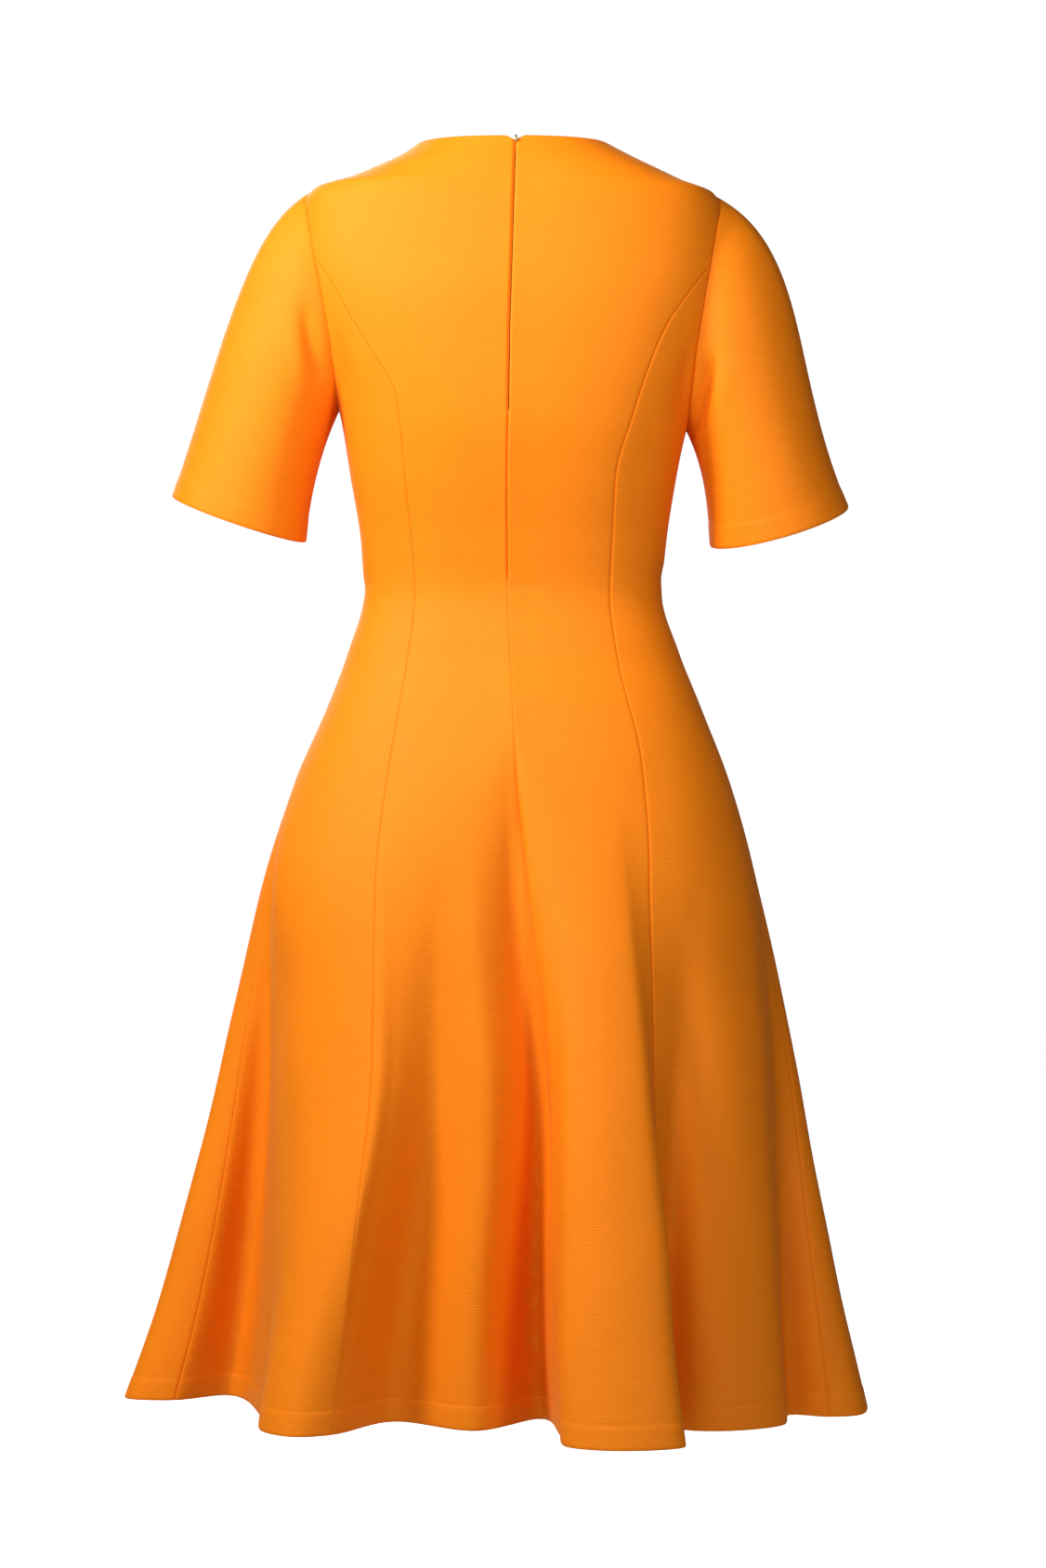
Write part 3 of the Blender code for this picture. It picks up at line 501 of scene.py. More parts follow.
# The allowances are pressed to one side, so that side stands proud and the other rolls down to the seam.
LOW_DEPTH, LOW_ROUND = 0.0013, 0.0013
HIGH_DEPTH, HIGH_ROUND = 0.0006, 0.0007
HIGH_SWELL, HIGH_SPREAD = 0.00025, 0.009
SEAM_PUCKER, PUCKER_SPREAD, PUCKER_PHASE = 0.00012, 3 * LOW_ROUND, 1.7
PUCKERS = ((0.0075, 0.6, 1), (0.02025, 0.4, 2))  # length along the seam, share, and its part of the phase
ALLOWANCE, ALLOWANCE_WIDTH = 0.0016, 0.008  # what the turned allowances add inside an armhole seam
SEAM_HOLD = 0.012  # a seam holds the cloth this far from it, so folds fade out towards it
# How deep each seam is down to a height and below it. The zip's opening is deepest, and the princess seams
# are pressed nearly flat.
SEAM_LINES = table(
    "name down_to above below",
    [
        ("centre back", -0.378, 1.5, 0.45),
        ("left back", PRINCESS_TOP, 1.2, 0.50),
        ("left side", UNDERARM, 1.2, 0.80),
        ("left front", PRINCESS_TOP, 1.2, 0.60),
        ("right front", PRINCESS_TOP, 1.2, 0.60),
        ("right side", UNDERARM, 1.2, 0.80),
        ("right back", PRINCESS_TOP, 1.2, 0.65),
        ("centre back again", -0.378, 1.5, 0.45),
    ],
)


def seam_profile(away, along, phase, proud):
    """How far a seam draws the cloth in, this far from it, with the small pucker of its stitches.

    proud is 1 on the side that the allowances are pressed to, and 0 on the other."""
    low_side = LOW_DEPTH * np.exp(-((away / LOW_ROUND) ** 2))
    high_side = HIGH_DEPTH * np.exp(-((away / HIGH_ROUND) ** 2))
    high_side -= HIGH_SWELL * np.exp(-((away / HIGH_SPREAD) ** 2))
    wander = sum(share * np.sin(2 * np.pi * along / length + part * phase) for length, share, part in PUCKERS)
    pucker = SEAM_PUCKER * wander * np.exp(-((away / PUCKER_SPREAD) ** 2))
    return low_side + (high_side - low_side) * proud + pucker


def seam_strength(seam, heights):
    down_to, above, below = (SEAM_LINES[column][seam] for column in ("down_to", "above", "below"))
    return np.where(heights > down_to, above, below)


# The centre back seam's stiff allowances stand the cloth up between the shoulder blades and the hips. Over the
# skirt the seam folds in, with an edge on its right and a slope on its left that widens further down.
RIDGE, RIDGE_SPREAD = 0.0017, 0.020
RIDGE_GROWS, RIDGE_ENDS = (-0.12, -0.27), (-0.62, -0.47)
FOLD, FOLD_SHARPNESS = 0.0050, 1.3
FOLD_GROWS, FOLD_ENDS = (-0.503, -0.583), (-0.93, -0.78)
FOLD_RIGHT, FOLD_LEFT, FOLD_WIDENS, FOLD_WIDENING = 0.0032, 0.004, 0.014, (-0.57, -0.67)


def back_ridge(away, heights):
    """How far the cloth stands out beside the centre back seam."""
    return RIDGE * ramp(heights, *RIDGE_GROWS) * ramp(heights, *RIDGE_ENDS) * np.exp(-away / RIDGE_SPREAD)


def back_fold(away, heights, left):
    """How far the centre back seam folds in, this far from it."""
    spread = FOLD_LEFT + FOLD_WIDENS * ramp(heights, *FOLD_WIDENING) if left else FOLD_RIGHT
    here = ramp(heights, *FOLD_GROWS) * ramp(heights, *FOLD_ENDS)
    return FOLD * here * np.exp(-((away / spread) ** FOLD_SHARPNESS))


HEM_TURN, HEM_STEP = 0.020, 0.0006  # depth of the turned hem, and how soft the step at its top is
HEM_SWELL = 0.0004  # how far the doubled cloth stands out
HEM_LINE, HEM_LINE_WIDTH = 0.00035, 0.0010  # the groove that the blind stitches draw in
STITCH_SPACING, STITCH_SHORTNESS = 0.006, 4
BETWEEN_STITCHES, AT_STITCHES = 0.6, 0.8  # shares of that groove
EDGE_DEPTH, EDGE_ROUND = WALL * 0.45, 0.0012
SINGLE, DOUBLED = 0.75, 0.6  # shares of the wall: the knit by itself, and what a turned edge adds
CLOTH_SHARP = np.radians(60)  # edges that turn by more than this look sharp
# Knit that hangs free is slightly uneven, in long shallow waves: radians for each metre across, back and up.
SWING_LOW, SWING_LOWER = 0.00042, 0.00028
SWING_WAVES, SWING_PHASES = np.array([(31, 0, 17), (0, 23, -29), (13, -9, 11)]), (2.1, 0.7, 1.3)
SWING_FREE, SWING_LEAST = (-0.30, -0.80), 0.25


def within_hem(up):
    """1 on the turned hem and 0 above it, with a soft step between."""
    return 1 / (1 + np.exp(np.minimum((up - HEM_TURN) / HEM_STEP, 40.0)))


def hem_profile(up, around):
    """The turned hem: the doubled cloth stands out a little, and a row of blind stitches dimples its top."""
    line = HEM_LINE * np.exp(-(((up - HEM_TURN) / HEM_LINE_WIDTH) ** 2))
    stitch = (0.5 + 0.5 * np.cos(2 * np.pi * around / STITCH_SPACING)) ** STITCH_SHORTNESS
    return HEM_SWELL * within_hem(up) - line * (BETWEEN_STITCHES + AT_STITCHES * stitch)


def edge_round(away):
    """How far the cloth rolls in at a turned edge."""
    return EDGE_DEPTH * np.exp(-2 * (away / EDGE_ROUND) ** 2)


def cloth_swing(points):
    first, second, third = np.moveaxis(np.sin(points @ SWING_WAVES.T + SWING_PHASES), -1, 0)
    free = np.maximum(ramp(points[..., 2], *SWING_FREE), SWING_LEAST)
    return free * (SWING_LOW * first * second + SWING_LOWER * third)


def add_shell(name, points, normals, thickness, lengths, material, around=False):
    """A closed shell: the outer points, and the same points moved in by the thickness, with a UV in metres."""
    rows, columns = points.shape[:2]
    under = rows * columns
    index = np.arange(under).reshape(rows, columns)
    if around:
        index = np.concatenate([index, index[:, :1]], axis=1)
    a, b, c, d = index[:-1, :-1], index[:-1, 1:], index[1:, 1:], index[1:, :-1]
    outer, inner = (np.stack(corners, axis=-1).reshape(-1, 4) for corners in ([a, b, c, d], [a, d, c, b]))
    faces = [outer, inner + under]
    rims = [index[0, ::-1], index[-1]] + ([] if around else [index[:, 0], index[::-1, -1]])
    faces += [np.stack([rim[:-1], rim[1:], rim[1:] + under, rim[:-1] + under], axis=-1) for rim in rims]
    vertices = np.concatenate([points.reshape(-1, 3), (points - normals * thickness[..., None]).reshape(-1, 3)])
    mesh = bpy.data.meshes.new(name)
    mesh.from_pydata(vertices.tolist(), [], np.concatenate(faces).tolist())
    loops = np.empty(len(mesh.loops), dtype=np.int64)
    mesh.loops.foreach_get("vertex_index", loops)
    flat = np.tile(lengths.reshape(-1, 2), (2, 1))[loops]
    mesh.uv_layers.new(name="cloth").data.foreach_set("uv", flat.astype(np.float32).ravel())
    mesh.shade_smooth()
    mesh.set_sharp_from_angle(angle=CLOTH_SHARP)
    mesh.materials.append(material)
    return add_object(name, mesh)


def add_object(name, data):
    added = bpy.data.objects.new(name, data)
    bpy.context.scene.collection.objects.link(added)
    return added


def from_hex(code):
    """An sRGB colour such as "f0a030" as the linear colour that the shader takes."""
    srgb = np.array([int(code[i : i + 2], 16) for i in (0, 2, 4)]) / 255
    linear = np.where(srgb <= 0.04045, srgb / 12.92, ((srgb + 0.055) / 1.055) ** 2.4)
    return (*linear.tolist(), 1.0)


def add_node(tree, kind, links=(), **settings):
    """Adds a node: settings are its properties, and links are pairs of an input and its value or source."""
    node = tree.nodes.new(kind)
    for name, value in settings.items():
        setattr(node, name, value)
    for target, value in dict(links).items():
        socket = node.inputs[target]
        if isinstance(value, bpy.types.NodeSocket):
            tree.links.new(value, socket)
        else:
            socket.default_value = value
    return node


def start_material(name):
    """A material named for the real one, with an empty node tree."""
    material = bpy.data.materials.new(name)
    material.use_nodes = True
    material.node_tree.nodes.clear()
    return material, material.node_tree


WAVE_REPEAT = 0.314159  # how far apart a wave texture's bands lie at a scale of 1
COURSE_SPACING = 0.0022  # real courses are 0.7 mm apart, and are drawn coarser to show at the photograph's scale
SLUB_LENGTH, SLUB_HEIGHT = 0.018, 0.0014
FLECK_SIZE, CLOUD_SIZE = 0.0012, 0.09


def ponte_knit():
    """Double knit jersey of viscose, nylon and elastane, dyed orange: matt and even, with fine crosswise ribs
    that show as faint level lines, a slight melange from the filaments, and a soft bloom at grazing angles."""
    material, tree = start_material("orange_ponte_double_knit")
    cloth = add_node(tree, "ShaderNodeUVMap", uv_map="cloth").outputs["UV"]
    wave = {"Vector": cloth, "Scale": WAVE_REPEAT / COURSE_SPACING, "Distortion": 1.2, "Detail": 2.0}
    courses = add_node(tree, "ShaderNodeTexWave", wave | {"Detail Scale": 0.6}, bands_direction="Y")
    stretch = (1 / SLUB_LENGTH, 1 / SLUB_HEIGHT, 1.0)
    stretched = add_node(tree, "ShaderNodeMapping", {"Vector": cloth, "Scale": stretch})
    slub = {"Vector": stretched.outputs["Vector"], "Scale": 1.0, "Detail": 2.0}
    slubs = add_node(tree, "ShaderNodeTexNoise", slub)
    fleck = add_node(tree, "ShaderNodeTexNoise", {"Vector": cloth, "Scale": 1 / FLECK_SIZE, "Detail": 1.0})
    cloudy = add_node(tree, "ShaderNodeTexNoise", {"Vector": cloth, "Scale": 1 / CLOUD_SIZE, "Detail": 2.0})
    broken = {0: courses.outputs["Fac"], 1: slubs.outputs["Fac"]}
    ribs = add_node(tree, "ShaderNodeMath", broken, operation="MULTIPLY")
    flecked = {0: ribs.outputs["Value"], 1: fleck.outputs["Fac"]}
    grain = add_node(tree, "ShaderNodeMath", flecked, operation="ADD").outputs["Value"]
    shade = add_node(tree, "ShaderNodeMapRange", {"Value": grain, "From Min": 0.3, "From Max": 1.2})
    colour_pair = {"Factor": shade.outputs["Result"], "A": from_hex("f07804"), "B": from_hex("ff8e0c")}
    dyed = add_node(tree, "ShaderNodeMix", colour_pair, data_type="RGBA")
    tone = add_node(tree, "ShaderNodeMapRange", {"Value": cloudy.outputs["Fac"], "To Min": 0.95, "To Max": 1.05})
    toned = {"Color": dyed.outputs["Result"], "Value": tone.outputs["Result"]}
    colour = add_node(tree, "ShaderNodeHueSaturation", toned)
    bump = add_node(tree, "ShaderNodeBump", {"Height": grain, "Strength": 0.35, "Distance": 0.00012})
    shader = add_node(
        tree,
        "ShaderNodeBsdfPrincipled",
        {
            "Base Color": colour.outputs["Color"],
            "Roughness": 0.66,
            "IOR": 1.45,
            "Specular IOR Level": 0.22,
            "Sheen Weight": 0.12,
            "Sheen Roughness": 0.25,
            "Sheen Tint": from_hex("c8c8a0"),
            "Normal": bump.outputs["Normal"],
        },
    )
    add_node(tree, "ShaderNodeOutputMaterial", {"Surface": shader.outputs["BSDF"]})
    return material


PONTE = ponte_knit()


def make_panel(number):
    """One panel as a thin closed shell, with its seams, creases, turned hem and neckline edge."""
    panel = {column: values[number].item() for column, values in PANELS.items()}
    name = panel["name"]
    side_panel = name.startswith("side")
    heights = panel_rows(PRINCESS_TOP - PRINCESS_TIP_CUT if side_panel else 0.0)
    shares = column_shares(panel_widths(number, heights), panel["columns"])
    points, normals = panel_surface(number, heights, shares)
    across, down = surface_lengths(points, 1), surface_lengths(points, 0)
    far, up = across[:, -1:] - across, down[-1:] - down
    heights = heights[:, None]
    sewn = heights > UNDERARM
    held = np.where(sewn, np.clip(np.minimum(across, far) / SEAM_HOLD, 0, 1), 1)
    out = crease_depth(points, normals, CREASES) * held + cloth_swing(points)
    edges = edge_round(up) + (0 if side_panel else edge_round(down))
    thickness = WALL * (SINGLE + DOUBLED * within_hem(up if side_panel else np.minimum(up, down))) - edges
    seams = []
    sides = ((number, "first", across, -up[:, :1]), (number + 1, "last", far, -up[:, -1:]))
    for seam, which, away, along in sides:
        beside = sewn & panel[f"{which}_beside"]
        proud = np.where(beside, 0, panel[f"{which}_proud"])
        profile = seam_profile(away, along, seam % LAST_SEAM * PUCKER_PHASE, proud)
        seams.append(profile * seam_strength(seam, heights))
        thickness = thickness + ALLOWANCE * np.exp(-((away / ALLOWANCE_WIDTH) ** 4)) * beside
    out += hem_profile(up, across) - edges - np.where(across < far, *seams)
    if name.startswith("center_back"):
        away = across if number == 0 else far
        out += back_ridge(away, heights) - back_fold(away, heights, number == 0)
    lengths = np.stack([across - across[:, -1:] / 2, up], axis=-1)
    piece = add_shell(f"{name}_cloth", points + normals * out[..., None], normals, thickness, lengths, PONTE)
    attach(piece, "dress")
    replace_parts(piece, name)


for panel_number in range(LAST_SEAM):
    make_panel(panel_number)


# ---- The two sleeves ----
# Each sleeve is one piece of the same ponte, seamed under the arm, set into the armhole with a little ease
# and flared to a turned hem just above the elbow. It hangs away from the body, as over an arm.
SLEEVE_LINES = table(
    "place leave_out leave_back leave_down leave_reach arrive_out arrive_down arrive_reach",
    [
        ("shoulder", 0.90, 0.00, 0.44, 0.066, 0.33, 0.94, 0.120),
        ("back", 0.70, 0.25, 0.67, 0.045, 0.30, 0.95, 0.090),
        ("underarm", 0.46, 0.00, 0.89, 0.034, 0.06, 1.00, 0.035),
        ("front", 0.70, -0.25, 0.67, 0.045, 0.30, 0.95, 0.090),
    ],
)
SLEEVE_HEM_HALF_DEPTH = 0.060
SLEEVES = {
    row[0]: dict(zip("side outer_out outer_up inner_out inner_up back_drop cap slim".split(), row))
    for row in [
        (1, 0.293, -0.300, 0.178, -0.3395, 0.0165, 0.000, 0.000),
        (-1, 0.289, -0.309, 0.170, -0.3430, 0.0270, 0.027, 0.011),
    ]
}
SLEEVE_TURNS = 168
# The rows of points, as shares of the sleeve's length: close together at the armhole and the hem.
SLEEVE_ROWS = (
    [0.0, 0.0015, 0.0032, 0.0055, 0.0085, 0.0125, 0.018, 0.026]
    + np.linspace(0.036, 0.892, 62).tolist()
    + [0.902, 0.910, 0.915, 0.919, 0.923, 0.930, 0.945, 0.965, 0.982, 0.990, 0.995, 0.998, 1.0]
)
TURNING_ROWS = 6  # over which the sleeve's slope takes over from the body's
SLEEVE_PHASE = 4.0  # of the armhole seam's pucker
# The armhole seam's allowance: how far it lies behind the body's edge, how wide it is, and its fold's depth.
TUCK_DEPTH, TUCK_WIDTH, TUCK_FOLD, TUCK_LENGTH = 0.0026, 0.0045, 0.0008, 0.005
SLEEVE_CREASES = table(
    "name seen_from from_across from_up by_across by_up to_across to_up depth width",
    [
        ("left armpit fold", "back", 0.176, -0.140, 0.170, -0.175, 0.161, -0.208, -0.0045, 0.0070),
        ("left armpit roll", "back", 0.186, -0.168, 0.180, -0.200, 0.174, -0.228, 0.0015, 0.0090),
        ("right armpit fold", "back", -0.168, -0.185, -0.160, -0.222, -0.151, -0.256, -0.0080, 0.0058),
        ("right armpit roll", "back", -0.184, -0.190, -0.176, -0.225, -0.170, -0.262, 0.0015, 0.0090),
        ("left front armpit fold", "front", 0.172, -0.150, 0.165, -0.184, 0.160, -0.215, -0.0040, 0.0080),
        ("right front armpit fold", "front", -0.172, -0.160, -0.164, -0.196, -0.160, -0.232, -0.0045, 0.0080),
    ],
)


def armhole_edge(side, turns):
    """Points and normals of the armhole's edge, from the shoulder round by the back and the underarm."""
    heights = ARMHOLE_CENTRE + ARMHOLE_HALF_HEIGHT * np.cos(turns)
    angle = np.where(turns > np.pi, np.pi - armhole_turn(heights, True), armhole_turn(heights, False))
    angle = angle if side > 0 else 2 * np.pi - angle
    return ring(heights, angle), ring_normal(heights, angle)


def sleeve_line(column, turns):
    """A column of SLEEVE_LINES, eased from place to place round the sleeve."""
    top, back, under, front = SLEEVE_LINES[column]
    cosine, sine = np.cos(turns), np.sin(turns)
    ends = np.where(cosine > 0, top, under) * cosine**2
    return ends + np.where(sine > 0, back, front) * sine**2


def sleeve_surface(side, turns, shares):
    """Rows of outer points from the armhole to the sleeve's hem, on smooth lines between the two."""
    armhole, seam_normals = armhole_edge(side, turns)
    leave = np.stack([sleeve_line(f"leave_{way}", turns) for way in ("out", "back", "down")], axis=-1)
    arrive = np.stack([sleeve_line("arrive_out", turns), 0 * turns, sleeve_line("arrive_down", turns)], axis=-1)
    leave = unit(leave) * (side, 1, -1)
    arrive = unit(arrive) * (side, 1, -1)
    sleeve = SLEEVES[side]
    outer = np.array([side * sleeve["outer_out"], 0.0, sleeve["outer_up"]])
    inner = np.array([side * sleeve["inner_out"], 0.0, sleeve["inner_up"]])
    cosine, sine = np.cos(turns)[:, None], np.sin(turns)[:, None]
    deep = np.array([0.0, SLEEVE_HEM_HALF_DEPTH, -sleeve["back_drop"] / 2])
    hem = (outer + inner) / 2 + (outer - inner) / 2 * cosine + deep * sine
    outer_side = np.clip(cosine, 0, 1) ** 2
    held = armhole + leave * (sleeve_line("leave_reach", turns)[:, None] + sleeve["cap"] * outer_side)
    coming = hem - arrive * sleeve_line("arrive_reach", turns)[:, None]
    coming = coming - outer_side * (side * sleeve["slim"], 0.0, 0.0)
    t = np.array(shares)[:, None, None]
    u = 1 - t
    return u**3 * armhole + 3 * u * u * t * held + 3 * u * t * t * coming + t**3 * hem, seam_normals


def make_sleeve(name, side):
    """One sleeve as a thin closed tube, with its armhole seam, folds and turned hem."""
    turns = np.linspace(0, 2 * np.pi, SLEEVE_TURNS, endpoint=False)
    points, seam_normals = sleeve_surface(side, turns, SLEEVE_ROWS)
    if side < 0:
        points, seam_normals = points[:, ::-1], seam_normals[::-1]
    around = np.roll(points, -1, axis=1) - np.roll(points, 1, axis=1)
    normals = -unit(np.cross(around, np.gradient(points, axis=0)))
    alike = np.clip(np.sum(normals[0] * seam_normals, axis=-1), 0, 1)[:, None]
    for row, share in enumerate(np.linspace(1, 0, TURNING_ROWS)):
        normals[row] = unit(normals[row] * (1 - alike * share) + seam_normals * alike * share)
    points, normals, seam_normals = points[:, ::-1], normals[:, ::-1], seam_normals[::-1]
    across, down = surface_lengths(points, 1), surface_lengths(points, 0)
    up = down[-1:] - down
    held = np.clip(down / SEAM_HOLD, 0, 1)
    out = crease_depth(points, normals, SLEEVE_CREASES) * held + cloth_swing(points)
    out += hem_profile(up, across) - edge_round(up)
    drawn_in = seam_profile(down, across, SLEEVE_PHASE * side, 1.0)
    points = points + normals * out[..., None] - seam_normals * drawn_in[..., None]
    thickness = WALL * (SINGLE + DOUBLED * within_hem(up)) - edge_round(up)
    lengths = np.stack([across, up], axis=-1)
    # The seam's allowance lies behind the body's edge, so that no light shows through the seam.
    leaving = unit(points[1] - points[0])
    leaving = unit(leaving - np.sum(leaving * seam_normals, axis=-1, keepdims=True) * seam_normals)
    tucked = [points[0] - TUCK_DEPTH * seam_normals - TUCK_WIDTH * leaving, points[0] - TUCK_FOLD * seam_normals]
    points, normals = np.concatenate([tucked, points]), np.concatenate([[seam_normals] * 2, normals])
    thickness = np.concatenate([thickness[:2], thickness])
    lengths = np.concatenate([lengths[:1] + TUCK_LENGTH, lengths[:1] + TUCK_FOLD, lengths])
    piece = add_shell(f"{name}_cloth", points, normals, thickness, lengths, PONTE, around=True)
    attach(piece, "dress")
    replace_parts(piece, name)


make_sleeve("sleeve_left", 1)
make_sleeve("sleeve_right", -1)


# ---- The zip's two tapes ----
# A concealed zip closes the top of the centre back seam. Its two tapes are woven polyester, sewn flat behind
# the edges of the centre back panels, and meet behind the seam's fine open line.
ZIP_END = -0.375
SEAM_GAP = 0.0003
TAPE_TOP = -0.0098  # below the neckline, clear of the slider's neck
TAPE_WIDTH, TAPE_THICKNESS = 0.012, 0.0006
TAPE_EDGE = -0.00038  # just past the seam, where the two meet
TAPE_ROLL = 4 * LOW_ROUND  # how far from the seam a tape follows the roll of the cloth
TAPE_ROWS, TAPE_COLUMNS = 160, 9
TWILL_SPACING, TWILL_SLOPE = 0.0005, np.radians(35.0)


def woven_tape():
    """Polyester zip tape in a fine twill, dyed orange: flat and matt, with close diagonal ribs. Its colours are
    darker than the knit's, as painted shade that makes the seam's fine open line show dark. The ribs are drawn at
    their real spacing, since only a close view shows the tape."""
    material, tree = start_material("woven_polyester_zip_tape")
    cloth = add_node(tree, "ShaderNodeUVMap", uv_map="cloth").outputs["UV"]
    turned = add_node(tree, "ShaderNodeMapping", {"Vector": cloth, "Rotation": (0.0, 0.0, TWILL_SLOPE)})
    wave = {"Vector": turned.outputs["Vector"], "Scale": WAVE_REPEAT / TWILL_SPACING, "Distortion": 0.3}
    ribs = add_node(tree, "ShaderNodeTexWave", wave, bands_direction="Y").outputs["Fac"]
    # Both colours are darker than the knit's: painted shade for the seam's open line in front of the tape.
    colour_pair = {"Factor": ribs, "A": from_hex("b04c08"), "B": from_hex("c86414")}
    colour = add_node(tree, "ShaderNodeMix", colour_pair, data_type="RGBA")
    bump = add_node(tree, "ShaderNodeBump", {"Height": ribs, "Strength": 0.4, "Distance": 0.0001})
    shader = add_node(
        tree,
        "ShaderNodeBsdfPrincipled",
        {
            "Base Color": colour.outputs["Result"],
            "Roughness": 0.7,
            "IOR": 1.5,
            "Specular IOR Level": 0.25,
            "Normal": bump.outputs["Normal"],
        },
    )
    add_node(tree, "ShaderNodeOutputMaterial", {"Surface": shader.outputs["BSDF"]})
    return material


TAPE = woven_tape()


def behind_the_seam(number, heights, away, deeper):
    """Points and normals behind a centre back panel, this far from the seam and this far behind the cloth."""
    shares = away / panel_widths(number, heights)[:, None]
    points, normals = panel_surface(number, heights, shares if number == 0 else 1 - shares)
    rolled = SEAM_LINES["above"][0] * LOW_DEPTH * np.exp(-away / TAPE_ROLL)
    out = cloth_swing(points) + back_ridge(away, heights[:, None]) - rolled
    return points + normals * (out - SINGLE * WALL - SEAM_GAP - deeper)[..., None], normals


def make_tape(name, number):
    """One side's tape, as a thin strip that follows the panel's inner face."""
    heights = np.linspace(TAPE_TOP, ZIP_END, TAPE_ROWS)
    away = np.broadcast_to(np.linspace(TAPE_EDGE, TAPE_WIDTH, TAPE_COLUMNS), (TAPE_ROWS, TAPE_COLUMNS))
    if number:
        away = away[:, ::-1]
    points, normals = behind_the_seam(number, heights, away, 0.0)
    lengths = np.stack([away, surface_lengths(points, 0)], axis=-1)
    piece = add_shell(f"{name}_woven", points, normals, np.full(away.shape, TAPE_THICKNESS), lengths, TAPE)
    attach(piece, "dress")
    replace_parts(piece, name)


make_tape("zip_tape_left", 0)
make_tape("zip_tape_right", 6)


# ---- The zip's coil ----
# Each tape carries a coil of nylon monofilament along its edge, on the inside. The two lock turn by turn, and
# at the top they rise into the slider's channel.
COIL_TOP, COIL_BOTTOM, COIL_ROWS = -0.0125, ZIP_END + 0.002, 160
COIL_AWAY = 0.0001  # to the left of the seam
COIL_PITCH = 0.0012  # from one turn to the next on one side
COIL_WIRE = 0.00027
COIL_HALF_WIDTH, COIL_HALF_DEPTH, COIL_SHIFT = 0.00105, 0.00055, 0.00078
COIL_LIFT, COIL_LIFT_SPREAD = 0.0011, 0.006  # into the slider's channel, at the top
DYE_PATCH = 0.004


def nylon_coil():
    """Extruded nylon monofilament, dyed with the tape: smooth, with a soft shine and a little uneven dye."""
    material, tree = start_material("dyed_nylon_coil")
    place = add_node(tree, "ShaderNodeTexCoord").outputs["Object"]
    uneven = add_node(tree, "ShaderNodeTexNoise", {"Vector": place, "Scale": 1 / DYE_PATCH, "Detail": 2.0})
    colour_pair = {"Factor": uneven.outputs["Fac"], "A": from_hex("cf5f0a"), "B": from_hex("ec8428")}
    colour = add_node(tree, "ShaderNodeMix", colour_pair, data_type="RGBA")
    smooth = {"Base Color": colour.outputs["Result"], "Roughness": 0.35, "IOR": 1.53}
    shader = add_node(tree, "ShaderNodeBsdfPrincipled", smooth)
    add_node(tree, "ShaderNodeOutputMaterial", {"Surface": shader.outputs["BSDF"]})
    return material


